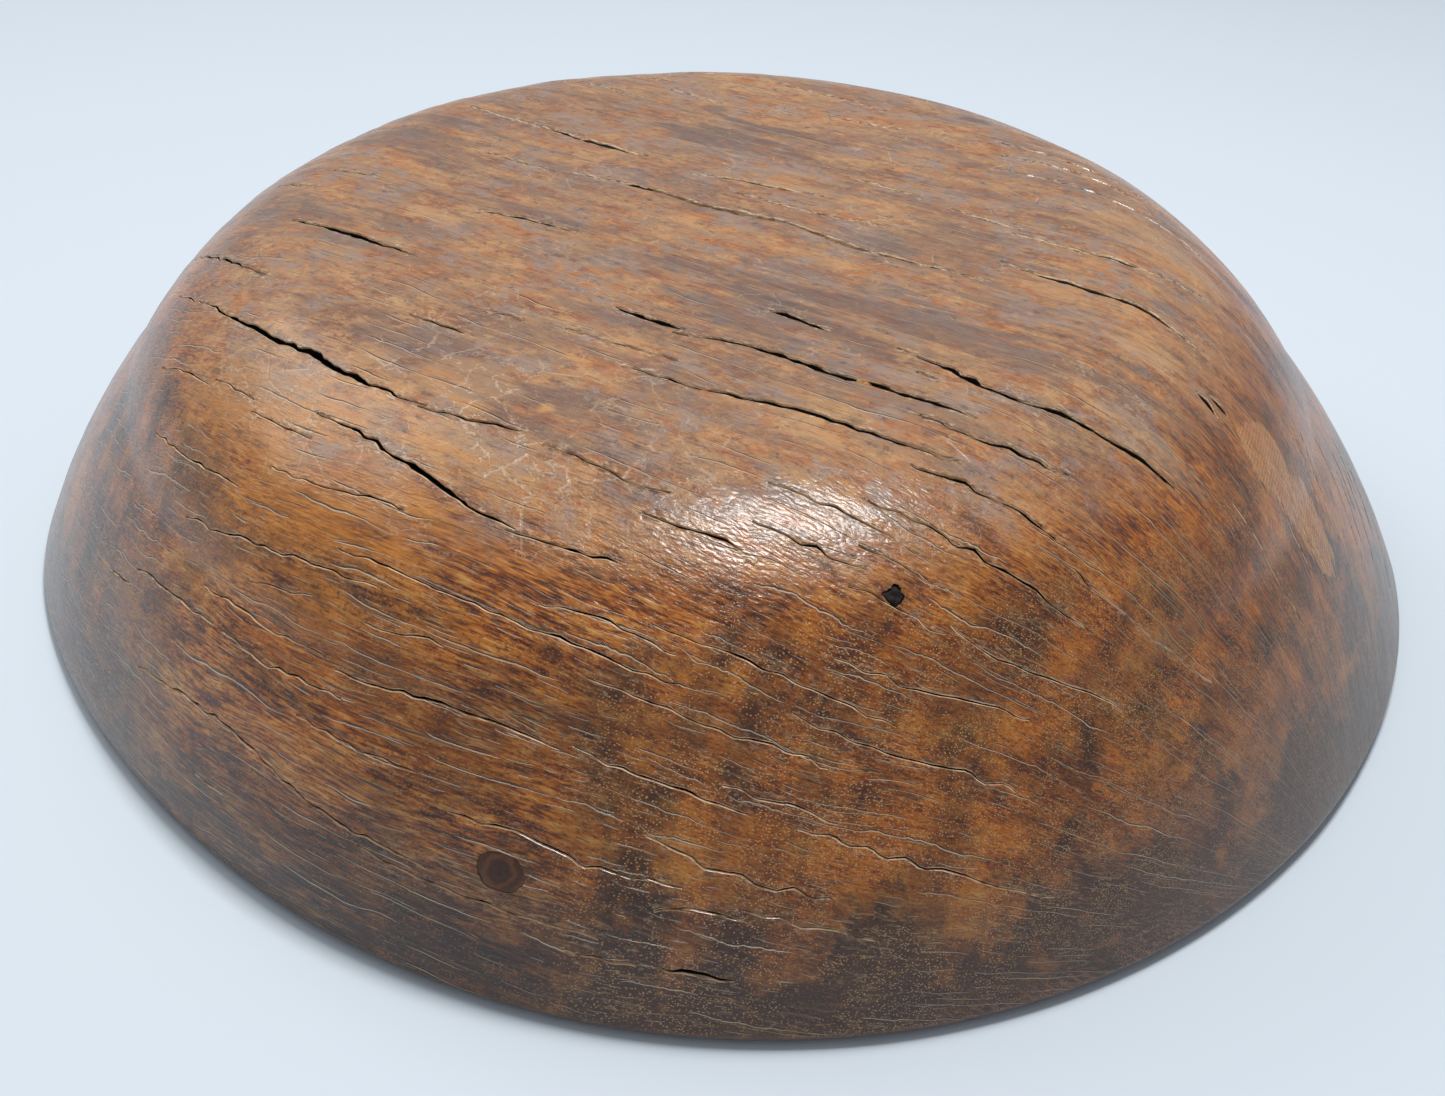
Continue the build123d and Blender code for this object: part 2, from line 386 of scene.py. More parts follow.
def layered_noise(points, layers):
    """Sum of noises that have a size in millimetres, a strength and a seed each."""
    return sum(strength * lattice_noise(points / size, seed) for size, strength, seed in layers)


def grain_space(points):
    """Along the grain, round the pith, and out from the pith, all in millimetres."""
    across = points[:, 1] - PITH_Y
    up = points[:, 2] + PITH_DEPTH
    lean = np.arctan2(across, up)
    return np.stack([points[:, 0], lean * CHORD_RADIUS, np.hypot(across, up)], axis=-1)


def new_object(name, vertices, faces):
    """Mesh object in metres from vertices in millimetres."""
    mesh = bpy.data.meshes.new(name)
    mesh.from_pydata((np.asarray(vertices) * MM).tolist(), [], faces)
    mesh.validate()
    piece = bpy.data.objects.new(name, mesh)
    bpy.context.scene.collection.objects.link(piece)
    return piece


def join(vertices, faces, more, more_faces):
    """Add a solid's points and faces to the lists of a mesh."""
    shift = len(vertices)
    vertices += more
    faces += [tuple(i + shift for i in face) for face in more_faces]


def tube_faces(sections, ring):
    """Faces of a closed tube whose sections have their points in the order of the ring."""
    count, faces = len(ring), []
    for k in range(sections - 1):
        a, b = count * k, count * (k + 1)
        for i in range(count):
            j = (i + 1) % count
            faces.append((a + ring[i], a + ring[j], b + ring[j], b + ring[i]))
    faces.append(tuple(reversed(ring)))
    faces.append(tuple(count * (sections - 1) + i for i in ring))
    return faces


def shade_smooth(piece, sharp_angle):
    """Smooth shading, with edges sharper than an angle in degrees left as edges."""
    piece.data.shade_smooth()
    piece.data.set_sharp_from_angle(angle=math.radians(sharp_angle))


# ---------------- the block of wood
def disc_grid(cells):
    """Share of the way out and angle for an even square grid pressed into a disc, its
    quads, and the indices round its edge."""
    line = np.linspace(-1, 1, cells + 1)
    across, up = (a.ravel() for a in np.meshgrid(line, line))
    wide = np.abs(across) >= np.abs(up)
    travel = np.where(wide, np.abs(across), np.abs(up))
    safe = np.where(travel > 0, travel, 1)
    side = np.where(across >= 0, 0, math.pi)
    top = np.where(up >= 0, math.pi / 2, -math.pi / 2)
    steep = math.pi / 4 * np.where(wide, up * np.sign(across), -across * np.sign(up)) / safe
    angle = np.where(wide, side, top) + steep
    row = cells + 1
    quads = [
        (j * row + i, j * row + i + 1, (j + 1) * row + i + 1, (j + 1) * row + i)
        for j in range(cells)
        for i in range(cells)
    ]
    south = list(range(cells))
    east = [j * row + cells for j in range(cells)]
    north = [cells * row + i for i in range(cells, 0, -1)]
    west = [j * row for j in range(cells, 0, -1)]
    return travel, angle, quads, south + east + north + west


def lip_rings(radius, z, angle, normal_turn, steps, full_height, side):
    """Rings that round the rim's edge over, from a wall whose normal is at normal_turn."""
    centre_r = radius - side * LIP_RADIUS * math.cos(normal_turn)
    centre_z = z - LIP_RADIUS * math.sin(normal_turn)
    rings = []
    for step in range(1, steps + 1):
        turn = normal_turn + (-math.pi / 2 - normal_turn) * step / steps
        ring_r = centre_r + side * LIP_RADIUS * math.cos(turn)
        ring_z = np.full_like(angle, centre_z + LIP_RADIUS * math.sin(turn))
        rings.append(round_the_bowl(ring_r, ring_z, angle, full_height))
    return rings


def zip_loops(outer, inner, outer_angle, inner_angle):
    """Triangles between two loops of different counts, both in order of angle."""
    faces, i, j = [], 0, 0
    while i < len(outer) or j < len(inner):
        next_outer = outer_angle[i + 1] if i < len(outer) else math.inf
        next_inner = inner_angle[j + 1] if j < len(inner) else math.inf
        a, b = outer[i % len(outer)], inner[j % len(inner)]
        if next_outer <= next_inner:
            faces.append((a, b, outer[(i + 1) % len(outer)]))
            i += 1
        else:
            faces.append((a, b, inner[(j + 1) % len(inner)]))
            j += 1
    return faces


def unwrapped(angle):
    """Loop angles that only grow, with the first one again a full turn on."""
    steps = np.unwrap(angle)
    return np.append(steps, steps[0] + 2 * math.pi)


def shell(cells, profile, full_height, lip_steps, side):
    """One side of the bowl: its points, its faces, and the last loop of its lip.  Side is
    1 for the outside and -1 for the hollow."""
    travel, angle, quads, edge = disc_grid(cells)
    radius, z = profile(travel)
    end_r, end_z = (float(v) for v in profile(np.array(1.0)))
    near_r, near_z = (float(v) for v in profile(np.array(NEAR_THE_LIP)))
    normal_turn = side * math.atan2(end_r - near_r, near_z - end_z)
    rings = lip_rings(end_r, end_z, angle[edge], normal_turn, lip_steps, full_height, side)
    points, faces, last = [round_the_bowl(radius, z, angle, full_height)], quads, edge
    count = len(travel)
    for ring in rings:
        points.append(ring)
        loop = list(range(count, count + len(edge)))
        for k in range(len(edge)):
            m = (k + 1) % len(edge)
            faces.append((last[k], loop[k], loop[m], last[m]))
        last, count = loop, count + len(edge)
    return np.concatenate(points), faces, last, unwrapped(angle[edge])


def relief(points):
    """How far the wood lies below the plain shape, in millimetres: uneven carving, and
    grain that has worn into low ridges, most of all on the foot."""
    grain = grain_space(points)
    carving = layered_noise(points, CARVING)
    ridges = layered_noise(grain, RIDGES)
    pocks = np.clip(layered_noise(grain, POCKS) - POCKS_ABOVE, 0, None)
    worn = np.clip((points[:, 2] - WORN_FROM) / WORN_REACH, LEAST_WORN, 1.0)
    return CARVING_HEIGHT * carving + worn * (RIDGE_HEIGHT * ridges + POCK_DEPTH * pocks)


def lip_lift(points):
    """How far the rim has warped up off the table, in millimetres."""
    angle = np.arctan2(points[:, 1], points[:, 0])
    warp = 0.5 - 0.5 * np.cos(2 * (angle - math.radians(WARP_AXIS)))
    return LIP_WARP * warp * np.exp(-np.clip(points[:, 2], 0, None) / WARP_REACH)


def carved_block():
    """The whole block as one closed mesh, before any check has opened."""
    outer = shell(OUTER_CELLS, outer_profile, HEIGHT, OUTER_LIP_STEPS, 1)
    inner = shell(INNER_CELLS, hollow_profile, HEIGHT - FLOOR_THICKNESS, INNER_LIP_STEPS, -1)
    shift = len(outer[0])
    inner_faces = [tuple(i + shift for i in reversed(face)) for face in inner[1]]
    inner_loop = [i + shift for i in inner[2]]
    land = zip_loops(outer[2], inner_loop, outer[3], inner[3])
    points = np.concatenate([outer[0], inner[0]])
    block = new_object("bowl_wood", points, outer[1] + inner_faces + land)
    normals = np.zeros(len(points) * 3)
    block.data.vertex_normals.foreach_get("vector", normals)
    normals = normals.reshape(-1, 3)
    outside = np.arange(len(points)) < shift
    low = np.clip(points[:, 2] / RIM_FADE, LEAST_AT_RIM, 1.0)
    depth = relief(points) * low * np.where(outside, 1.0, INSIDE_RELIEF)
    points = points - normals * depth[:, None]
    points[:, 2] += lip_lift(points)
    fit_in_box(points)
    block.data.vertices.foreach_set("co", (points * MM).ravel())
    block.data.update()
    return block


def fit_in_box(points):
    """Stretch the points, in millimetres, to just fill the designed bowl's box."""
    low, high = (np.array(corner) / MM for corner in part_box("bowl_body"))
    low, high = low + BOX_MARGIN, high - BOX_MARGIN
    found_low, found_high = points.min(axis=0), points.max(axis=0)
    points -= found_low
    points *= (high - low) / (found_high - found_low)
    points += low


# ---------------- drying checks
def tree_of(piece):
    """Search tree of a mesh, for finding its surface."""
    mesh = piece.data
    return BVHTree.FromPolygons([v.co for v in mesh.vertices], [p.vertices for p in mesh.polygons])


def on_surface(x, lean):
    """Point, normal and outward radial line where x and a lean meet the outside."""
    turn = math.radians(lean)
    out = Vector((0, math.sin(turn), math.cos(turn)))
    root = Vector((x, PITH_Y, -PITH_DEPTH)) * MM
    point, normal, _, _ = WOOD_TREE.ray_cast(root + out * SEARCH_FROM, -out)
    return point, normal, out


def check_rows(width, places, rng):
    """Rows of x, lean, width and depth along a check, which jogs from fibre to fibre."""
    xs, leans = [p[0] + GRAIN_X for p in places], [p[1] for p in places]
    phase = rng.uniform(0, 1000)
    count = max(MIN_STEPS, int(abs(xs[-1] - xs[0]) / STEP))
    share = np.linspace(0, 1, count + 1)
    x = xs[0] + (xs[-1] - xs[0]) * share
    still = np.zeros_like(x)
    slow = lattice_noise(np.stack([x / SLOW_LENGTH + phase, still, still], axis=-1), SEED)
    quick = lattice_noise(np.stack([x / QUICK_LENGTH + phase, still + 7, still], axis=-1), SEED)
    ragged = lattice_noise(np.stack([x / RAGGED_LENGTH + phase, still, still + 5], axis=-1), SEED)
    zigzag = JITTER * (1 + END_ZIGZAG * np.clip((np.abs(x) - END_FROM) / END_REACH, 0, 1))
    lean = np.interp(x, xs, leans) + np.degrees((WANDER * slow + zigzag * quick) / CHORD_RADIUS)
    swell = np.sin(math.pi * np.clip(share, TIP_SHARE, 1 - TIP_SHARE)) ** SWELL
    gape = MEAN_GAPE + SLOW_GAPE * slow + QUICK_GAPE * quick + RAGGED_GAPE * ragged
    wide = np.clip(width * swell * gape, THIN_END, None)
    deep = (SHALLOWEST + DEPTH_PER_WIDTH * width) * (TIP_DEPTH + (1 - TIP_DEPTH) * swell)
    return list(zip(x.tolist(), lean.tolist(), wide.tolist(), deep.tolist()))


def lean_below(x, y):
    """Lean of the place on top of the bowl at x along the grain and y from the pith."""
    above = Vector((x + GRAIN_X, y + PITH_Y, 2 * HEIGHT)) * MM
    point, _, _, _ = WOOD_TREE.ray_cast(above, Vector((0, 0, -1)))
    return math.degrees(math.atan2(y, point.z / MM + PITH_DEPTH))


def other_checks(rng):
    """Checks on the far wall and on both ends, spread at random but never too close."""
    found = []
    while len(found) < OTHER_CHECKS:
        at_end = rng.random() < SHARE_AT_ENDS
        leans, lengths, starts, widths, power = ON_ENDS if at_end else BEHIND
        lean, length = rng.uniform(*leans), rng.uniform(*lengths)
        start = (rng.choice(END_STARTS) if at_end else 0) + rng.uniform(*starts)
        width = rng.uniform(*widths) ** power
        drift = rng.uniform(-LEAN_DRIFT, LEAN_DRIFT)
        tries = (-END_CLEARANCE, 0, length, length + END_CLEARANCE)
        ends = [on_surface(start + GRAIN_X + way, lean)[0] for way in tries]
        if any(end is None or end.z < RIM_CLEARANCE * MM for end in ends):
            continue
        beside = [other for other in found if abs(lean - other[1][1]) < LEAN_APART]
        if not any(start < b[0] + X_APART and start + length > a[0] - X_APART for _, a, b in beside):
            found.append((width, (start, lean), (start + length, lean + drift)))
    return found


def all_checks():
    """Every check on the bowl, as rows of x, lean, width and depth."""
    rng = random.Random(SEED)
    checks = []
    for width, *places in FOOT_CHECKS:
        checks.append(check_rows(width, [(x, lean_below(x, y)) for x, y in places], rng))
    for width, *places in FRONT_CHECKS + tuple(other_checks(rng)):
        checks.append(check_rows(width, places, rng))
    return checks


def blade(rows):
    """Closed wedge, in metres, that cuts one check out of the wood, and its line."""
    vertices, line = [], []
    spots = [on_surface(x, lean) for x, lean, _, _ in rows]
    rag = lattice_noise(np.array([[x / 1.7, side, 0.5] for x, _, _, _ in rows for side in (3, 8)]), SEED)
    for k, (point, normal, out) in enumerate(spots):
        ahead = spots[min(k + 1, len(spots) - 1)][0] - spots[max(k - 1, 0)][0]
        across = normal.cross(ahead).normalized()
        half, depth = rows[k][2] / 2 * MM, rows[k][3] * MM
        flare = LIP_WIDTH * MM * (OVERSHOOT + LIP_DEPTH) / LIP_DEPTH
        levels = ((OVERSHOOT * MM, 1.0, flare), (-LIP_DEPTH * MM, 1.0, 0.0), (-depth, BOTTOM_SHARE, 0.0))
        for reach, share, more in levels:
            for side in (0, 1):
                torn = RAG * MM * rag[2 * k + side] * min(1.0, half / (FULL_RAG_WIDTH / 2 * MM))
                edge = max(half * share + more + torn * share, THINNEST * MM)
                vertices.append(point + out * reach + across * (edge if side == 0 else -edge))
        line.append(point)
    return vertices, tube_faces(len(rows), (1, 3, 5, 4, 2, 0)), line


def joined_blades(checks):
    """One mesh object of all the wedges, and the points along their lines."""
    vertices, faces, lines = [], [], []
    for rows in checks:
        *wedge, line = blade(rows)
        join(vertices, faces, *wedge)
        lines += line
    return new_object("check_blades", [v / MM for v in vertices], faces), lines


def cut(piece, tool):
    """Take the tool's shape out of the piece, and remove the tool."""
    change = piece.modifiers.new("cut", "BOOLEAN")
    change.operation = "DIFFERENCE"
    change.solver = "MANIFOLD"
    change.object = tool
    whole = bpy.data.meshes.new_from_object(piece.evaluated_get(bpy.context.evaluated_depsgraph_get()))
    piece.modifiers.clear()
    piece.data = whole
    bpy.data.objects.remove(tool)


# ---------------- knots
def place_on(x, lean):
    """Matrix, in millimetres, of a place on the wood: along the grain, across it and out."""
    point, normal, _ = on_surface(x + GRAIN_X, lean)
    across = normal.cross(ALONG_GRAIN).normalized()
    along = across.cross(normal)
    turn = Matrix((along, across, normal)).transposed()
    return Matrix.Translation(point / MM) @ turn.to_4x4()


def knot_outline(half_length, half_width, uneven, grow):
    """Uneven oval round a knot, as x and y for each spoke."""
    angle = np.linspace(0, 2 * math.pi, KNOT_SPOKES, endpoint=False)
    circle = np.stack([np.cos(angle) * 2.2, np.sin(angle) * 2.2, np.full_like(angle, half_length)], axis=-1)
    swell = 1 + uneven * (lattice_noise(circle, 11) + 0.5 * lattice_noise(circle * 2.3, 12))
    return (half_length * swell + grow) * np.cos(angle), (half_width * swell + grow) * np.sin(angle)


def knot_solid(name, rings, place):
    """Closed solid from rings of one spoke count, each (x, y, z), with a point at each end."""
    points = [place @ Vector(row) for ring in rings for row in zip(*ring)]
    ends = [place @ Vector((0, 0, float(np.mean(ring[2])))) for ring in (rings[0], rings[-1])]
    count, faces = KNOT_SPOKES, []
    for level in range(len(rings) - 1):
        for k in range(count):
            m, low, high = (k + 1) % count, level * count, (level + 1) * count
            faces.append((low + k, low + m, high + m, high + k))
    top, foot, last = len(points), len(points) + 1, (len(rings) - 1) * count
    for k in range(count):
        m = (k + 1) % count
        faces.append((top, m, k))
        faces.append((foot, last + k, last + m))
    return new_object(name, points + ends, faces)


def knot_socket(x, lean, half_length, half_width, uneven, gap):
    """The hole that a knot sits in."""
    rings = []
    for z, share in ((SOCKET_TOP, SOCKET_FLARE), (-KNOT_DEPTH, KNOT_TAPER)):
        across = knot_outline(half_length, half_width, uneven, gap)
        rings.append((across[0] * share, across[1] * share, np.full(KNOT_SPOKES, z)))
    return knot_solid("knot_socket", rings[::-1], place_on(x, lean))


def knot_plug(name, x, lean, half_length, half_width, uneven, below, rough):
    """The knot itself, a tapered plug with a cracked, lumpy top."""
    edge = knot_outline(half_length, half_width, uneven, 0.0)
    foot_share = KNOT_TAPER * KNOT_SLACK
    foot_z = np.full(KNOT_SPOKES, KNOT_LIFT - KNOT_DEPTH)
    rings = [(edge[0] * foot_share, edge[1] * foot_share, foot_z)]
    for level in range(KNOT_RINGS):
        share = 1 - level / KNOT_RINGS
        flat_x, flat_y = edge[0] * share, edge[1] * share
        flat = np.stack([flat_x / KNOT_LUMP, flat_y / KNOT_LUMP, np.full_like(flat_x, x)], axis=-1)
        turn = KNOT_SPLITS * np.arctan2(flat_y, flat_x) + SPLIT_TWIST * share
        splits = -np.clip(np.cos(turn) - SPLIT_ABOVE, 0, None) * SPLIT_DEPTH
        z = -below + rough * (lattice_noise(flat, 13) + splits * share)
        z = z - (KNOT_EDGE_DROP if level == 0 else 0)
        rings.append((flat_x, flat_y, np.minimum(z, KNOT_HIGHEST)))
    return knot_solid(name, rings, place_on(x, lean))


# ---------------- grit and wax
def level_in_check(row, share):
    """Middle of a check at a share of its depth, its half width there, and its directions."""
    point, normal, out = on_surface(row[0], row[1])
    across = normal.cross(ALONG_GRAIN).normalized()
    deep = row[3] * MM * share
    narrowing = 1 - (1 - BOTTOM_SHARE) * share
    return point - out * deep, row[2] / 2 * MM * narrowing, across, out


def lump(centre, across, out, sizes, rng):
    """Points and faces of a small uneven lump, with its sizes along the grain, across and out."""
    seed = rng.uniform(0, 9)
    ball = bmesh.new()
    bmesh.ops.create_icosphere(ball, subdivisions=LUMP_DETAIL, radius=1.0)
    raw = np.array([v.co for v in ball.verts])
    swell = 1 + LUMP_SWELL * lattice_noise(raw * 1.4 + 5 * seed, 21)
    swell = swell + LUMP_RIPPLE * lattice_noise(raw * 3.1 + seed, 22)
    faces = [tuple(v.index for v in face.verts) for face in ball.faces]
    ball.free()
    points = []
    for (a, b, c), share in zip(raw, swell):
        step = ALONG_GRAIN * (a * sizes[0]) + across * (b * sizes[1]) + out * (c * sizes[2])
        points.append(centre + step * (float(share) * MM))
    return points, faces


def grit(checks, rng):
    """The dirt packed in the widest checks: a crumbly ribbon in each, with loose grains."""
    vertices, faces = [], []
    for index in GRIT_CHECKS:
        rows = [row for row in checks[index] if row[2] > GRIT_NARROWEST]
        ribbon = []
        for row in rows:
            rise = GRIT_UNEVEN * rng.uniform(-1, 1)
            top, half, across, out = level_in_check(row, GRIT_TOP + rise)
            foot, foot_half, _, _ = level_in_check(row, GRIT_FOOT)
            crown = top + out * (rng.uniform(*GRIT_CROWN) * MM)
            ribbon += [foot - across * foot_half, foot + across * foot_half, top + across * half]
            ribbon += [crown, top - across * half]
        join(vertices, faces, ribbon, tube_faces(len(rows), range(5)))
        for _ in range(int(len(rows) * STEP * GRAINS_PER_MM)):
            centre, half, across, out = level_in_check(rng.choice(rows), rng.uniform(*GRAIN_LEVELS))
            size = rng.uniform(*GRAIN_SIZES)
            place = centre + across * (half * rng.uniform(-GRAIN_SPREAD, GRAIN_SPREAD))
            join(vertices, faces, *lump(place, across, out, (size * GRAIN_LENGTH, size, size), rng))
    return new_object("packed_grit", [v / MM for v in vertices], faces)


def wax(checks, rng):
    """Old lumps of wax or resin left in the checks."""
    vertices, faces = [], []
    for index, x in WAX_LUMPS:
        row = min(checks[index], key=lambda r: abs(r[0] - x - GRAIN_X))
        centre, _, across, out = level_in_check(row, WAX_LEVEL)
        join(vertices, faces, *lump(centre, across, out, WAX_SIZE, rng))
    return new_object("amber_wax", [v / MM for v in vertices], faces)


# ---------------- marks for the materials
def mark_checks(piece, lines):
    """Store how deep each point lies in a check, and how near it is to a check's edge."""
    tree = KDTree(len(lines))
    for index, point in enumerate(lines):
        tree.insert(point, index)
    tree.balance()
    count = len(piece.data.vertices)
    depth, lip = np.zeros(count, np.float32), np.zeros(count, np.float32)
    for index, vertex in enumerate(piece.data.vertices):
        _, _, far = tree.find(vertex.co)
        if far < MARK_REACH * MM:
            _, _, _, below = WOOD_TREE.find_nearest(vertex.co)
            depth[index] = below / MM
            lip[index] = math.exp(-far / (LIP_REACH * MM))
    for name, values in (("check_depth", depth), ("check_lip", lip)):
        piece.data.attributes.new(name, "FLOAT", "POINT").data.foreach_set("value", values)


# ---------------- node trees
class Shader:
    """Builds one material, node by node, with short names for the nodes used most."""

    def __init__(self, name):
        self.material = bpy.data.materials.new(name)
        self.material.use_nodes = True
        self.tree = self.material.node_tree
        self.tree.nodes.clear()
        self.out = self.tree.nodes.new("ShaderNodeOutputMaterial")

    def add(self, kind, inputs, **settings):
        """New node, with its settings made and each input set or linked."""
        node = self.tree.nodes.new(kind)
        for name, value in settings.items():
            setattr(node, name, value)
        for key, source in inputs.items():
            if isinstance(source, bpy.types.NodeSocket):
                self.tree.links.new(source, node.inputs[key])
            elif isinstance(source, tuple) and node.inputs[key].type == "RGBA":
                node.inputs[key].default_value = (*source, 1.0)
            else:
                node.inputs[key].default_value = source
        return node

    def calc(self, operation, a, b=0.0, c=0.0):
        return self.add("ShaderNodeMath", {0: a, 1: b, 2: c}, operation=operation).outputs[0]

    def plus(self, *values):
        total = values[0]
        for value in values[1:]:
            total = self.calc("ADD", total, value)
        return total

    def times(self, *values):
        total = values[0]
        for value in values[1:]:
            total = self.calc("MULTIPLY", total, value)
        return total

    def hypot(self, a, b):
        return self.calc("SQRT", self.plus(self.times(a, a), self.times(b, b)))

    def vector(self, x, y, z=0.0):
        return self.add("ShaderNodeCombineXYZ", {0: x, 1: y, 2: z}).outputs[0]

    def scaled(self, vector, x, y, z):
        """Vector divided by a size along each axis, in millimetres."""
        sizes = (1 / x, 1 / y, 1 / z)
        return self.add("ShaderNodeVectorMath", {0: vector, 1: sizes}, operation="MULTIPLY").outputs[0]

    def noise(self, vector, sizes, detail=3.0, rough=0.5):
        """Noise from 0 to 1, near 0.5 on average, with features of these sizes."""
        inputs = {"Vector": self.scaled(vector, *sizes), "Scale": 1.0, "Detail": detail, "Roughness": rough}
        return self.add("ShaderNodeTexNoise", inputs, noise_dimensions="3D").outputs[0]

    def cells(self, vector, sizes, feature="F1"):
        """Distance to the nearest point or cell edge of an uneven cell pattern."""
        inputs = {"Vector": self.scaled(vector, *sizes), "Scale": 1.0}
        return self.add("ShaderNodeTexVoronoi", inputs, feature=feature).outputs["Distance"]

    def plus_vector(self, vector, noise_at, amount):
        """Vector pushed about by noise, by an amount in millimetres."""
        inputs = {"Vector": self.scaled(noise_at, 6, 6, 6), "Scale": 1.0, "Detail": 2.0}
        push = self.add("ShaderNodeTexNoise", inputs).outputs["Color"]
        push = self.scaled(push, 1 / amount, 1 / amount, 1 / amount)
        return self.add("ShaderNodeVectorMath", {0: vector, 1: push}, operation="ADD").outputs[0]

    def step(self, value, start, end, low=0.0, high=1.0):
        """Smooth step of a value from low, at start, to high, at end."""
        inputs = {"Value": value, "From Min": start, "From Max": end, "To Min": low, "To Max": high}
        return self.add("ShaderNodeMapRange", inputs, interpolation_type="SMOOTHSTEP").outputs[0]

    def near(self, value, middle, reach):
        """1 where a value is at the middle, falling to 0 at the reach on both sides."""
        away = self.calc("ABSOLUTE", self.calc("SUBTRACT", value, middle))
        return self.step(away, 0.0, reach, 1.0, 0.0)

    def ramp(self, value, *stops):
        """Colour ramp of (place, colour) stops."""
        node = self.add("ShaderNodeValToRGB", {"Fac": value})
        points = node.color_ramp.elements
        while len(points) < len(stops):
            points.new(0.5)
        for point, (place, colour) in zip(points, stops):
            point.position = place
            point.color = (*colour, 1.0)
        return node.outputs["Color"]

    def mix(self, factor, a, b):
        """Mix of two colours."""
        return self.add("ShaderNodeMix", {0: factor, 6: a, 7: b}, data_type="RGBA").outputs[2]

    def finish(self, colour, roughness, height, film=None, **fixed):
        """Principled surface of a colour, a roughness, and the bump heights in millimetres of
        the surface and of the film of oil on it."""
        bump = self.add("ShaderNodeBump", {"Height": height, "Distance": MM, "Strength": 1.0})
        inputs = {"Base Color": colour, "Roughness": roughness, "Normal": bump.outputs[0]}
        if film is not None:
            film_bump = self.add("ShaderNodeBump", {"Height": film, "Distance": MM, "Strength": 1.0})
            inputs["Coat Normal"] = film_bump.outputs[0]
        inputs.update({name.replace("_", " "): value for name, value in fixed.items()})
        surface = self.add("ShaderNodeBsdfPrincipled", inputs)
        self.tree.links.new(surface.outputs[0], self.out.inputs["Surface"])
        return self.material


class Wood(Shader):
    """A shader with places on this block of wood at hand, all in millimetres."""

    def __init__(self, name):
        super().__init__(name)
        place = self.add("ShaderNodeTexCoord", {}).outputs["Object"]
        self.place = self.scaled(place, MM, MM, MM)
        parts = self.add("ShaderNodeSeparateXYZ", {0: self.place})
        self.x, self.y, self.z = parts.outputs
        across = self.calc("SUBTRACT", self.y, PITH_Y)
        up = self.calc("ADD", self.z, PITH_DEPTH)
        self.lean = self.times(self.calc("ARCTAN2", across, up), math.degrees(1))
        wander = self.noise(self.place, (75, 38, 38), 2.0)
        ripple = self.noise(self.place, (22, 9, 9), 2.0)
        drift = self.plus(self.times(wander, 7.0), self.times(ripple, 1.6))
        self.round = self.plus(self.times(self.lean, MM_PER_DEGREE), drift)
        self.grain = self.vector(self.x, self.round, self.hypot(across, up))
        normal = self.add("ShaderNodeNewGeometry", {}).outputs["Normal"]
        facing = self.add("ShaderNodeSeparateXYZ", {0: normal}).outputs
        self.end_grain = self.step(self.calc("ABSOLUTE", facing[0]), 0.2, 0.44)
        coarse = self.noise(self.grain, (30, 8, 12), 5.0, 0.62)
        self.torn = self.times(self.plus(coarse, -0.5), 2.0)

    def hairlines(self, spacing, width, length, amount, seed):
        """Fine splits that wander along the grain, one to a lane: the dark line, and the pale line above it,
        which is partly fraying fibres and partly a painted highlight where the edge catches the light."""
        bent = self.times(self.plus(self.noise(self.grain, (34, 12, 18), 2.0), -0.5), 4.0)
        lane_at = self.times(self.plus(self.round, bent, seed * SEED_SHIFT), 1 / spacing)
        lane = self.calc("FLOOR", lane_at)
        off = self.times(lane, LANE_SHIFT)
        run = self.vector(self.plus(self.times(self.x, 1 / length), off), off)
        quick = self.vector(self.plus(self.times(self.x, 1 / HAIRLINE_SWAY), off), off)
        opening = self.step(self.noise(run, (1, 1, 1), 1.0), 1 - amount, 1.18 - amount)
        more = self.step(self.end_grain, 0.0, 1.0, 0.2, 0.7)
        sway = self.times(self.plus(self.noise(quick, (1, 1, 1), 3.0, 0.6), -0.5), more)
        height = self.times(self.plus(self.calc("FRACT", lane_at), sway, -0.5), spacing)
        gape = self.times(opening, width)
        dark = self.step(self.plus(self.calc("ABSOLUTE", height), self.times(gape, -1.0)), 0.05, -0.06)
        # The pale line sits on one side only: partly fraying fibres and partly a painted highlight where the
        # split's edge catches the light.
        below = self.calc("ABSOLUTE", self.plus(height, gape, 0.12))
        pale = self.step(self.plus(below, self.times(gape, -0.6)), 0.1, -0.02)
        shown = self.step(opening, 0.02, 0.2)
        return self.times(dark, shown), self.times(pale, shown)

    def away(self, x, lean, half_length=1.0, half_width=1.0):
        """Distance from a place, as a share of a half length and a half width."""
        along = self.times(self.calc("SUBTRACT", self.x, x + GRAIN_X), 1 / half_length)
        across = self.times(self.calc("SUBTRACT", self.lean, lean), MM_PER_DEGREE / half_width)
        return self.hypot(along, across)

    def patch(self, x, lean, half_length, half_width, ragged):
        """Patch with an edge torn by noise: 1 inside, 0 outside."""
        away = self.away(x, lean, half_length, half_width)
        return self.step(self.plus(away, self.times(self.torn, ragged)), 0.5, 1.1, 1.0, 0.0)


# ---------------- colours
def srgb(*channels):
    """Linear colour from red, green and blue of 0 to 255."""
    shares = [c / 255 for c in channels]
    return tuple(c / 12.92 if c <= 0.04045 else ((c + 0.055) / 1.055) ** 2.4 for c in shares)


CHARRED = srgb(40, 20, 10)
DEEP_BROWN = srgb(74, 32, 10)
BROWN = srgb(130, 64, 16)
ORANGE = srgb(184, 101, 24)
AMBER = srgb(198, 126, 46)
OCHRE = srgb(214, 154, 82)
# The worn brown and worn grey are partly the foot's wear and partly a painted sheen on its top.
WORN_SHEEN_BROWN = srgb(168, 128, 88)
GREY_PURPLE = srgb(104, 80, 72)
WORN_SHEEN_GREY = srgb(156, 131, 117)
TAN = srgb(204, 152, 98)
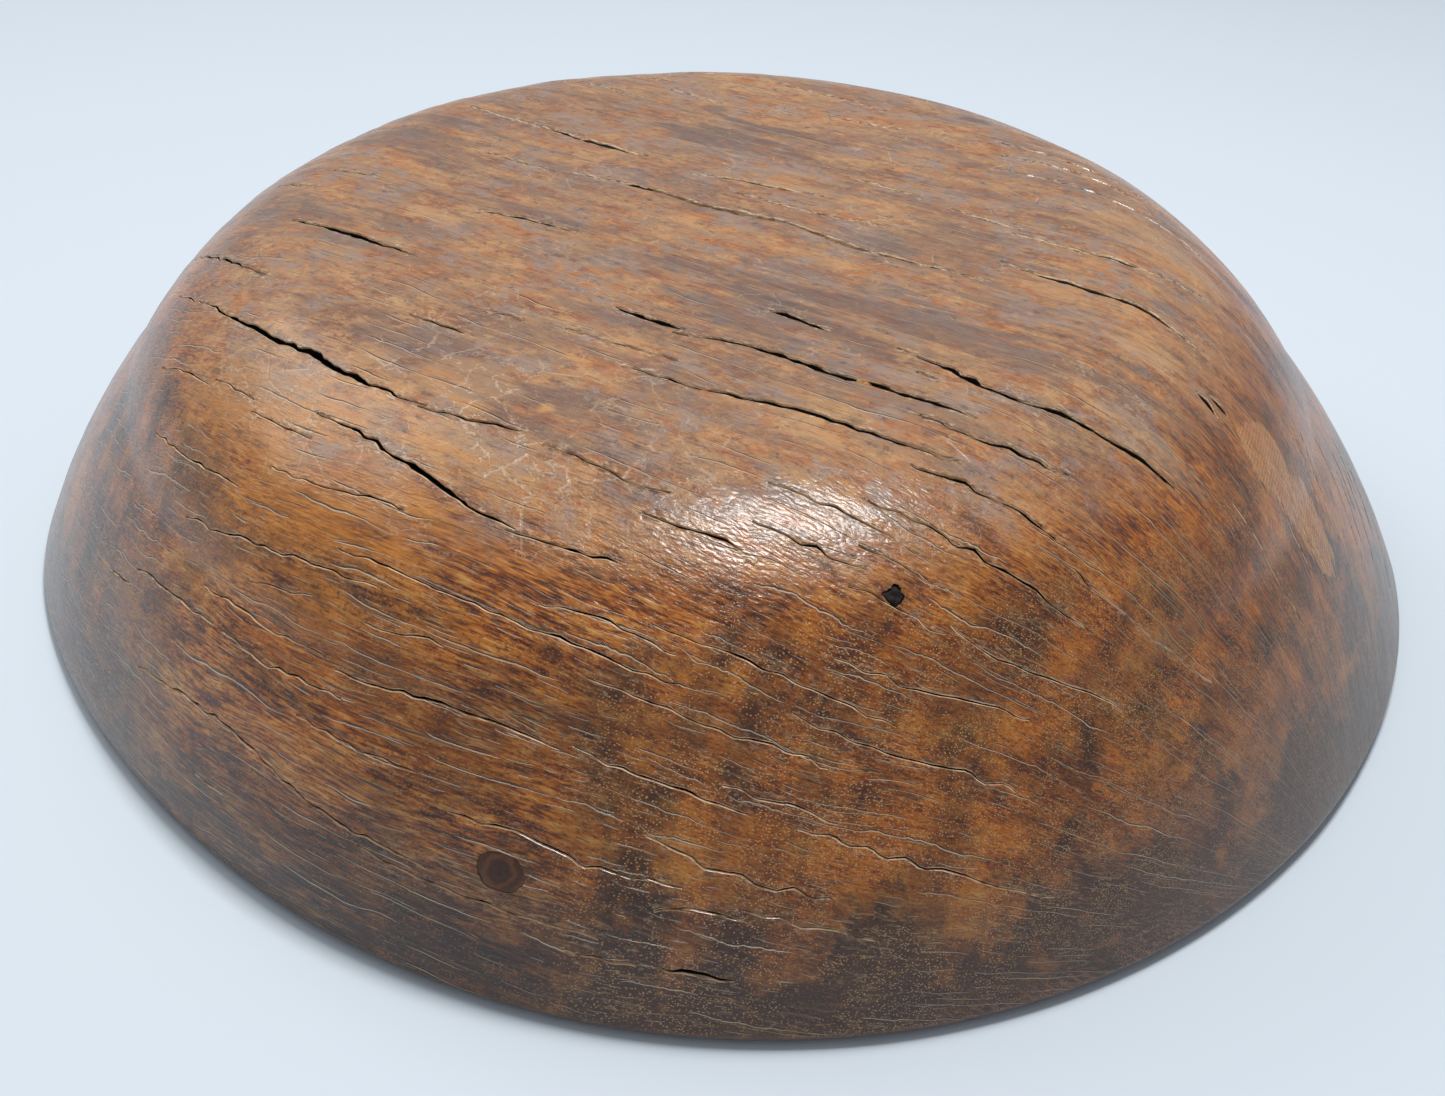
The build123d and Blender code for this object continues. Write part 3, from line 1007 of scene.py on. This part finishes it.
# This pale colour also paints the highlight along one edge of each hairline.
DUST_AND_HIGHLIGHT = srgb(232, 204, 170)
PORE = srgb(216, 166, 110)
# This dark colour paints the hairlines' gaps and the painted shade deep inside the checks.
NEAR_BLACK = srgb(34, 25, 17)
RAW_WOOD = srgb(232, 198, 162)
LIP_BROWN = srgb(122, 92, 80)
FILED_RED = srgb(150, 92, 70)

WOOD_ROUGHNESS = 0.4
LONG_HAIRLINES = (4.3, 0.11, 24.0, 0.5, 1)  # spacing, width, length, amount and seed
SHORT_HAIRLINES = (2.0, 0.07, 9.0, 0.46, 2)
HAIRLINE_SWAY = 1 / 0.13
SEED_SHIFT = 3.3
LANE_SHIFT = 7.31
KNOT_FIGURE = {"sound_wall_knot": (15.0, 2.6), "dead_pin_knot": (7.0, 4.2)}  # reach and pitch

# Places on the wood: x, lean, half length, half width and how ragged the edge is.
GLOSSY_PLACE = (88, -42.0, 96, 36, 0.25)
SCRAPED_PLACES = ((157, 3, 10, 17, 0.5), (168, 9, 10, 18, 0.5))
PATCH_RAGGED = 2.2

# Stains and worn places, and one patch of painted light: colour, x, lean, half length, half width, strength.
PATCHES = (
    (GREY_PURPLE, -46, 25, 30, 14, 0.75),
    (GREY_PURPLE, -118, 1, 34, 22, 0.5),
    (GREY_PURPLE, 55, 8, 34, 15, 0.4),
    (GREY_PURPLE, 60, -11, 66, 12, 0.6),
    (GREY_PURPLE, 45, -18, 34, 11, 0.55),
    (GREY_PURPLE, -45, -12, 28, 7, 0.4),
    (GREY_PURPLE, -90, -26, 42, 12, 0.45),
    (GREY_PURPLE, -15, -37.5, 26, 9, 0.55),
    (GREY_PURPLE, 38, -40, 22, 11, 0.5),
    (GREY_PURPLE, 8, 43, 7, 4, 0.8),
    (GREY_PURPLE, 30, 32, 5, 3, 0.6),
    (GREY_PURPLE, -62, 31, 6, 4, 0.6),
    (GREY_PURPLE, 100, -25, 30, 7, 0.4),
    (GREY_PURPLE, 20, -27, 20, 5, 0.35),
    (TAN, 100, 25, 26, 16, 0.5),
    (TAN, 92, 6, 10, 6, 0.5),
    (TAN, -5, 16, 12, 9, 0.45),
    (TAN, 6, -40, 13, 7, 0.4),
    (TAN, -22, -41.5, 10, 4, 0.4),
    (TAN, 124, 0, 9, 8, 0.6),
    (TAN, -68, -18, 12, 5, 0.5),
    (OCHRE, 30, -40.5, 3, 2, 0.8),
    (OCHRE, -40, -47, 46, 14, 0.35),
    (OCHRE, 30, -46, 30, 9, 0.3),
    (DUST_AND_HIGHLIGHT, 138, -15, 14, 9, 0.2),
    (CHARRED, 176, -12, 16, 30, 0.35),
    # Painted light: this amber patch lightens the front wall towards the left, where the left lamp's light
    # falls.
    (AMBER, -20, -54, 66, 22, 0.5),
    (ORANGE, 30, -62, 44, 14, 0.35),
    (CHARRED, -62, -67, 36, 26, 0.4),
    (CHARRED, 40, -72, 60, 12, 0.35),
)


class BowlWood(Wood):
    """Old oiled hardwood that is painted and embossed in steps, one kind of wear at a time."""

    def __init__(self, name):
        super().__init__(name)
        self.figure = self.noise(self.grain, (95, 12, 16), 5.0, 0.62)
        self.streaks = self.noise(self.grain, (20, 1.5, 4), 3.0, 0.6)
        self.fibres = self.noise(self.grain, (6, 0.5, 1.4), 2.0, 0.6)
        self.mottle = self.noise(self.grain, (15, 7, 9), 5.0, 0.68)
        self.skin = self.noise(self.grain, (3.0, 1.3, 1.5), 3.0, 0.6)
        self.cloud = self.noise(self.place, (60, 44, 44), 4.0, 0.6)
        self.smears = self.noise(self.place, (17, 12, 12), 7.0, 0.78)
        self.foot = self.step(self.z, 82.0, 98.0)
        self.wall = self.step(self.z, 92.0, 74.0)
        self.ends = self.times(self.end_grain, self.wall)
        self.gloss = self.patch(*GLOSSY_PLACE)
        self.colour = None
        self.heights, self.film_heights, self.roughness = [], [], []

    def mark(self, name):
        """Value stored on the mesh by mark_checks()."""
        return self.add("ShaderNodeAttribute", {}, attribute_name=name).outputs["Fac"]

    def swing(self, noise):
        """Noise moved to run from -0.5 to 0.5."""
        return self.plus(noise, -0.5)

    def paint(self, colour, *factors):
        """Lay a colour over the wood where all the factors are high."""
        self.colour = self.mix(self.times(*factors), self.colour, colour)

    def emboss(self, *factors):
        """Raise the wood by a product of factors, in millimetres."""
        self.heights.append(self.times(*factors))

    def emboss_film(self, *factors):
        """Raise the film of oil by a product of factors, in millimetres."""
        self.film_heights.append(self.times(*factors))

    def roughen(self, *factors):
        self.roughness.append(self.times(*factors))


def grow_wood(w):
    """The wood itself: orange brown, streaked along the grain."""
    long_grain = w.plus(1.0, w.times(w.ends, -0.6), w.times(w.foot, -0.72))
    tone = w.plus(
        0.5,
        w.times(w.swing(w.figure), long_grain, 1.1),
        w.times(w.swing(w.streaks), long_grain, 1.4),
        w.times(w.swing(w.fibres), long_grain, 2.0),
        w.times(w.swing(w.cloud), 0.8),
        w.times(w.swing(w.mottle), w.plus(1.0, w.times(w.foot, -0.35))),
    )
    w.colour = w.ramp(tone, (0.08, DEEP_BROWN), (0.32, BROWN), (0.52, ORANGE), (0.72, AMBER), (0.95, OCHRE))
    matt = w.plus(1.0, w.times(w.gloss, -0.65))
    w.emboss(w.figure, 0.5)
    w.emboss(w.streaks, matt, 0.24)
    w.emboss(w.fibres, matt, 0.1)
    w.emboss(w.cloud, 0.6)
    w.emboss_film(w.streaks, 0.05)
    w.roughen(w.swing(w.streaks), 0.3)


def wear_and_sheen_foot(w):
    """The foot is worn greyer and paler than the wall and greyed further by a painted sheen on its top, with
    smears, spots and a ridge of resin.
    """
    # Painted sheen: the greyer browns laid over the foot are partly real wear and partly the pale veil of
    # light reflected off the top.
    w.paint(WORN_SHEEN_BROWN, w.foot, w.step(w.mottle, 0.38, 0.58, 0.2, 0.8))
    w.paint(WORN_SHEEN_GREY, w.foot, w.step(w.smears, 0.5, 0.58), 0.75)
    w.paint(TAN, w.foot, w.step(w.smears, 0.47, 0.4), 0.6)
    purple = w.noise(w.grain, (42, 11, 12), 6.0, 0.72)
    w.paint(GREY_PURPLE, w.foot, w.step(purple, 0.49, 0.6), 0.45)
    ridge_line = w.plus(w.lean, 4.6, w.times(w.swing(w.mottle), 3.0))
    ridge = w.times(w.near(ridge_line, 0.0, 1.1), w.near(w.x, 125.0, 44.0), w.step(w.skin, 0.35, 0.55))
    w.paint(GREY_PURPLE, ridge, 0.6)
    spots = w.noise(w.place, (3.6, 2.4, 2.4), 5.0, 0.75)
    w.paint(TAN, w.foot, w.step(spots, 0.54, 0.66), 0.5)
    w.paint(GREY_PURPLE, w.foot, w.step(spots, 0.46, 0.36), 0.6)
    w.paint(CHARRED, w.foot, w.step(spots, 0.38, 0.3), 0.5)
    w.emboss(w.mottle, w.foot, 1.0)
    w.emboss(spots, w.foot, 0.7)
    w.emboss(ridge, 0.5)
    w.emboss_film(spots, w.foot, 0.06)
    w.roughen(w.foot, 0.08)


def paint_stains_and_light(w):
    """The stains, worn places and the patch of painted light of PATCHES."""
    for colour, *place, strength in PATCHES:
        w.paint(colour, w.patch(*place, PATCH_RAGGED), strength)


def blacken_wall(w):
    """The wall has dark grime in blotches, and darkens to the rim and on its end grain."""
    low = w.step(w.z, 40.0, 2.0)
    bands = w.step(w.noise(w.place, (11, 70, 90), 4.0, 0.55), 0.44, 0.58)
    grime = w.step(w.noise(w.place, (40, 24, 24), 6.0, 0.7), 0.46, 0.62)
    on_ends = w.times(w.ends, w.plus(0.1, w.times(bands, 0.35)))
    at_rim = w.times(low, w.plus(0.66, w.times(w.step(w.mottle, 0.6, 0.4), 0.45)))
    dark = w.plus(w.times(w.wall, grime, 0.5), on_ends, at_rim)
    w.paint(CHARRED, w.calc("MINIMUM", dark, 0.9))


def ring_knots(w):
    """The grain swirls round the knots."""
    for name, (reach, pitch) in KNOT_FIGURE.items():
        away = w.away(*KNOTS[name][1:3])
        ring = w.calc("SINE", w.times(w.plus(away, w.times(w.mottle, 12.0)), pitch))
        near_knot = w.step(w.plus(away, w.times(w.mottle, reach)), reach * 1.5, reach * 0.6)
        w.paint(CHARRED, w.step(ring, -0.6, 1.0), near_knot, 0.3)
        halo = w.step(w.plus(away, w.times(w.smears, reach)), reach * 1.1, reach * 0.5)
        w.paint(CHARRED, halo, 0.55)


def scrape_end(w):
    """A scraped place on the end shows fresher wood, with the marks of the tool."""
    one, other = (w.patch(*place) for place in SCRAPED_PLACES)
    scraped = w.step(w.calc("MAXIMUM", one, other), 0.4, 0.55)
    across_marks = w.plus(w.x, w.times(w.round, 0.25), w.times(w.z, -0.4))
    marks = w.calc("SINE", w.times(across_marks, 5.5))
    tone = w.plus(0.5, w.times(marks, 0.18), w.times(w.swing(w.mottle), 1.2))
    w.paint(w.ramp(tone, (0.2, ORANGE), (0.8, TAN)), scraped, 0.8)
    w.emboss(marks, scraped, 0.05)


def open_pores(w):
    """Pores show as pale specks where the fibres end on the wall, and as dark ones between."""
    speck = w.step(w.cells(w.grain, (0.9, 0.5, 0.5)), 0.38, 0.16)
    speck_area = w.step(w.noise(w.place, (16, 12, 12), 5.0, 0.7), 0.42, 0.54, 0.2, 1.0)
    specks = w.times(speck, speck_area, w.calc("MAXIMUM", w.ends, w.times(w.wall, 0.35)))
    dark_pore = w.step(w.noise(w.grain, (1.4, 0.5, 0.6), 1.0, 0.5), 0.42, 0.34)
    w.paint(CHARRED, dark_pore, w.wall, 0.5)
    w.paint(PORE, specks, 0.8)
    w.emboss(specks, -0.05)
    w.roughen(specks, 0.15)


def split_fibres(w):
    """Short fine splits and vessel lines along the grain, hundreds of them."""
    dash = w.noise(w.grain, (20, 0.85, 2.6), 1.0, 0.4)
    dash_noise = w.step(w.noise(w.grain, (40, 16, 20), 2.0), 0.38, 0.6)
    dash_area = w.times(dash_noise, w.plus(0.3, w.times(w.wall, 0.7)))
    dashes = w.times(w.step(dash, 0.64, 0.7), dash_area)
    dash_edge = w.times(w.step(dash, 0.58, 0.64), dash_area)
    vessels = w.step(w.noise(w.grain, (8, 0.4, 1.2), 1.0, 0.5), 0.62, 0.72)
    w.paint(PORE, dash_edge, w.wall, 0.35)
    w.paint(DEEP_BROWN, vessels, 0.45)
    w.paint(CHARRED, dashes, 0.8)
    w.emboss(vessels, -0.05)
    w.emboss(dashes, -0.22)


def split_hairlines(w):
    """Longer hairline splits, dark inside and pale along one edge; the pale edge is partly fraying fibres and
    partly a painted highlight.
    """
    long_dark, long_pale = w.hairlines(*LONG_HAIRLINES)
    short_dark, short_pale = w.hairlines(*SHORT_HAIRLINES)
    fine = w.plus(0.25, w.times(w.wall, 0.75))
    frayed_and_lit_edge = w.calc("MAXIMUM", long_pale, w.times(short_pale, fine, 0.7))
    hair = w.calc("MAXIMUM", long_dark, w.times(short_dark, fine))
    # The pale edge line is partly fraying, dusty fibres and partly a painted highlight where the edge catches
    # the light.
    w.paint(DUST_AND_HIGHLIGHT, frayed_and_lit_edge, 0.75)
    w.paint(NEAR_BLACK, hair, 0.85)
    w.emboss(frayed_and_lit_edge, 0.05)
    w.emboss(hair, -0.35)
    w.emboss_film(hair, -0.15)


def scratch_shoulder(w):
    """A web of pale scratches over the shoulder in front, and a thinner one on the foot."""
    bent = w.noise(w.place, (11, 9, 9), 4.0, 0.65)
    web_x = w.plus(w.x, w.times(bent, -10.0))
    web_round = w.plus(w.round, w.times(bent, 16.0))
    web_line = w.cells(w.vector(web_x, web_round, w.times(bent, 20.0)), (10, 6, 8), "DISTANCE_TO_EDGE")
    in_front = w.times(w.near(w.lean, -43.0, 14.0), w.near(w.x, 18.0, 130.0))
    shoulder = w.times(in_front, w.step(w.noise(w.place, (20, 12, 12), 4.0, 0.65), 0.44, 0.56))
    on_foot = w.times(w.foot, w.step(w.noise(w.place, (24, 15, 15), 4.0, 0.65), 0.52, 0.62))
    web = w.times(w.step(web_line, 0.042, 0.012), w.calc("MAXIMUM", shoulder, w.times(on_foot, 0.5)))
    w.paint(DUST_AND_HIGHLIGHT, web, 0.5)
    w.emboss(web, -0.12)
    w.emboss_film(web, -0.1)
    w.roughen(web, 0.2)


def edge_checks(w):
    """Checks have raw pale edges, crumbling wood and dust beside them, and are dark inside, with painted
    shade that deepens with their depth.
    Their pale edges are fainter at the back."""
    depth = w.mark("check_depth")
    torn = w.step(w.noise(w.grain, (6, 1.6, 2.4), 3.0, 0.6), 0.38, 0.56)
    crumbs = w.swing(w.noise(w.grain, (2.6, 1.0, 1.4), 3.0, 0.7))
    beside = w.step(w.plus(w.mark("check_lip"), w.times(crumbs, 1.4)), 0.25, 0.5)
    crumbling = w.times(beside, w.plus(0.25, w.times(w.foot, 0.75)))
    w.paint(RAW_WOOD, crumbling, w.step(crumbs, 0.02, 0.14), 0.65)
    w.paint(CHARRED, crumbling, w.step(crumbs, 0.0, -0.1), 0.85)
    front_share = w.step(w.lean, 36.0, 16.0, 0.3, 1.0)
    w.paint(RAW_WOOD, w.step(depth, 0.02, 0.12), w.plus(0.25, w.times(torn, 0.7)), front_share)
    # Painted shade: the inside of each check is painted darker the deeper it lies.
    inside = w.step(depth, 0.34, 0.7)
    w.paint(NEAR_BLACK, inside)
    w.emboss(crumbs, crumbling, 1.3)
    w.roughen(inside, 0.4)


def wear_rim(w):
    """The lip is worn to a pinkish brown, and filed with short slanting strokes."""
    turn = w.times(w.calc("ARCTAN2", w.y, w.x), RIM_RADIUS)
    slant = w.plus(turn, w.times(w.z, 1.1), w.times(w.mottle, 2.5))
    strokes = w.step(w.calc("SINE", w.times(slant, 2.2)), 0.35, 0.85)
    filed = w.times(w.near(w.z, 4.0, 5.5), w.near(turn, -105.0, 62.0), w.step(w.mottle, 0.36, 0.52))
    strokes = w.times(strokes, filed)
    w.paint(FILED_RED, strokes, 0.65)
    lip = w.times(w.step(w.z, 3.6, 2.2), w.step(w.noise(w.place, (9, 9, 2), 3.0), 0.3, 0.55, 0.5, 1.0))
    w.paint(LIP_BROWN, lip, w.plus(0.55, w.times(w.mottle, 0.6)))
    w.emboss(strokes, -0.25)


def polish(w):
    """Oiled and handled, the wood is glossiest on the shoulder in front, where its film of
    oil has crazed."""
    cells = w.cells(w.plus_vector(w.grain, w.place, 3.2), (2.6, 0.8, 1.1))
    crazed = w.times(cells, w.plus(0.12, w.times(w.gloss, 0.88)))
    w.emboss(crazed, -0.14)
    w.emboss(w.skin, w.plus(0.13, w.times(w.gloss, 0.1)))
    w.emboss_film(crazed, -0.08)
    w.emboss_film(w.skin, 0.05)
    w.roughen(w.gloss, -0.22)


def wood_material():
    w = BowlWood("oiled_hardwood")
    grow_wood(w)
    wear_and_sheen_foot(w)
    paint_stains_and_light(w)
    blacken_wall(w)
    ring_knots(w)
    scrape_end(w)
    open_pores(w)
    split_fibres(w)
    split_hairlines(w)
    scratch_shoulder(w)
    edge_checks(w)
    wear_rim(w)
    polish(w)
    rough = w.plus(WOOD_ROUGHNESS, *w.roughness)
    coat = {"Coat_Weight": 0.55, "Coat_Roughness": 0.165}
    height, film = w.plus(*w.heights), w.plus(*w.film_heights)
    return w.finish(w.colour, rough, height, film, Specular_IOR_Level=0.4, **coat)


def dead_knot_material():
    w = Wood("dead_knot")
    crumbs = w.noise(w.place, (1.1, 1.1, 1.1), 4.0, 0.65)
    rings = w.noise(w.place, (3.0, 0.5, 0.5), 2.0)
    colour = w.ramp(crumbs, (0.3, srgb(12, 9, 8)), (0.6, srgb(34, 23, 17)), (0.85, srgb(74, 52, 36)))
    return w.finish(colour, w.plus(0.6, w.times(rings, 0.3)), w.times(crumbs, 0.5), Specular_IOR_Level=0.4)


def sound_knot_material():
    w = Wood("sound_knot")
    middle = w.away(*KNOTS["sound_wall_knot"][1:3])
    swirl = w.noise(w.place, (5, 4, 4), 4.0, 0.6)
    rings = w.step(w.calc("SINE", w.times(w.plus(middle, w.times(swirl, 5.0)), 2.6)), -1.0, 1.0)
    colour = w.ramp(rings, (0.0, srgb(74, 40, 18)), (1.0, srgb(104, 58, 26)))
    colour = w.mix(w.times(w.step(w.plus(middle, w.times(swirl, 3.0)), 4.6, 1.6), 0.8), colour, CHARRED)
    return w.finish(colour, w.plus(0.36, w.times(swirl, 0.2)), w.times(rings, 0.05), Specular_IOR_Level=0.5)


def grit_material():
    w = Wood("packed_grit")
    crumbs = w.noise(w.place, (0.7, 0.7, 0.7), 4.0, 0.7)
    dust = w.noise(w.place, (6.0, 6.0, 6.0), 3.0)
    tone = w.plus(w.times(crumbs, 0.8), w.times(dust, 0.3), -0.05)
    colour = w.ramp(tone, (0.3, srgb(30, 20, 14)), (0.55, srgb(84, 60, 38)), (0.8, srgb(150, 118, 80)))
    return w.finish(colour, w.plus(0.75, w.times(dust, 0.2)), w.times(crumbs, 0.4), Specular_IOR_Level=0.3)


def wax_material():
    w = Wood("old_wax")
    cloud = w.noise(w.place, (1.6, 1.6, 1.6), 4.0, 0.6)
    colour = w.ramp(cloud, (0.3, srgb(120, 66, 14)), (0.55, srgb(182, 116, 30)), (0.8, srgb(214, 160, 70)))
    rough = w.plus(0.25, w.times(cloud, 0.3))
    return w.finish(colour, rough, w.times(cloud, 0.25), Specular_IOR_Level=0.5, Subsurface_Weight=0.15)


# ---------------- the room
CAMERA_PLACE = Vector((271.0, -393.3, 285.9)) * MM
CAMERA_AZIMUTH = 34.0
CAMERA_DOWN = 31.6
CAMERA_ROLL = 1.4
CAMERA_LENS = 44.84
SENSOR = 36.0

FLOOR_SIZE = 8.0
FLOOR_COLOUR = srgb(216, 225, 233)
FLOOR_CLOUD = srgb(205, 215, 225)
SKY_COLOUR = (0.86, 0.93, 1.0)
SKY_STRENGTH = 0.375

# Soft lights: where each hangs from, what it points at, its size and its power.
LIGHTS = {
    "overhead": ((0.08, 0.2, 1.5), (0.05, -0.05, 0.05), (0.42, 0.3), 16.0),
    "left": ((-1.4, 0.05, 1.25), (0.0, 0.0, 0.05), (1.2, 0.9), 7.0),
}


def build_floor():
    mesh = bpy.data.meshes.new("floor")
    half = FLOOR_SIZE / 2
    corners = [(-half, -half, 0), (half, -half, 0), (half, half, 0), (-half, half, 0)]
    mesh.from_pydata(corners, [], [(0, 1, 2, 3)])
    floor = bpy.data.objects.new("floor", mesh)
    bpy.context.scene.collection.objects.link(floor)
    s = Shader("table_top")
    place = s.add("ShaderNodeTexCoord", {}).outputs["Object"]
    cloud = s.noise(place, (0.5, 0.5, 0.5), 2.0)
    colour = s.mix(s.times(cloud, 0.1), FLOOR_COLOUR, FLOOR_CLOUD)
    mesh.materials.append(s.finish(colour, s.plus(0.55, s.times(cloud, 0.1)), s.times(cloud, 0.1)))


def build_lights():
    world = bpy.data.worlds.new("sky")
    world.use_nodes = True
    sky = world.node_tree.nodes["Background"]
    sky.inputs["Color"].default_value = (*SKY_COLOUR, 1.0)
    sky.inputs["Strength"].default_value = SKY_STRENGTH
    bpy.context.scene.world = world
    for name, (place, target, size, power) in LIGHTS.items():
        lamp = bpy.data.lights.new(name, "AREA")
        lamp.shape = "RECTANGLE"
        lamp.size, lamp.size_y = size
        lamp.energy = power
        light = bpy.data.objects.new(name, lamp)
        light.location = place
        aim = Vector(target) - Vector(place)
        light.rotation_euler = aim.to_track_quat("-Z", "Y").to_euler()
        bpy.context.scene.collection.objects.link(light)


def build_camera():
    lens = bpy.data.cameras.new("camera")
    lens.lens, lens.sensor_width = CAMERA_LENS, SENSOR
    camera = bpy.data.objects.new("camera", lens)
    down, azimuth = math.radians(CAMERA_DOWN), math.radians(CAMERA_AZIMUTH)
    ahead = Vector((-math.sin(azimuth) * math.cos(down), math.cos(azimuth) * math.cos(down), -math.sin(down)))
    look = ahead.to_track_quat("-Z", "Y").to_matrix().to_4x4()
    roll = Matrix.Rotation(math.radians(CAMERA_ROLL), 4, "Z")
    camera.matrix_world = Matrix.Translation(CAMERA_PLACE) @ look @ roll
    bpy.context.scene.collection.objects.link(camera)
    bpy.context.scene.camera = camera
    bpy.context.scene.view_settings.view_transform = "Standard"


# ---------------- assembly
SHARP_WOOD = 20.0  # so that the shading of the wood stops at the edges of the checks
SHARP_KNOT = 45.0
SHARP_GRIT = 60.0
SHARP_WAX = 80.0


def finish_piece(piece, nodes, material, sharp_angle):
    """Give a piece its material and its place in the frame."""
    piece.data.materials.clear()
    piece.data.materials.append(material)
    shade_smooth(piece, sharp_angle)
    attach(piece, "root")
    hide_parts(*nodes)


bowl = carved_block()
WOOD_TREE = tree_of(bowl)
checks = all_checks()
blades, check_lines = joined_blades(checks)
cut(bowl, blades)
for name, (node, x, lean, *shape) in KNOTS.items():
    cut(bowl, knot_socket(x, lean, *shape[:4]))
    knot = knot_plug(name, x, lean, *shape[:3], *shape[4:])
    material = dead_knot_material() if name == "dead_pin_knot" else sound_knot_material()
    finish_piece(knot, [node], material, SHARP_KNOT)
mark_checks(bowl, check_lines)
finish_piece(bowl, ["bowl_body"], wood_material(), SHARP_WOOD)

draws = random.Random(SEED + 1)
finish_piece(grit(checks, draws), ["check_packing"], grit_material(), SHARP_GRIT)
finish_piece(wax(checks, draws), ["wax_lumps"], wax_material(), SHARP_WAX)

build_floor()
build_lights()
build_camera()
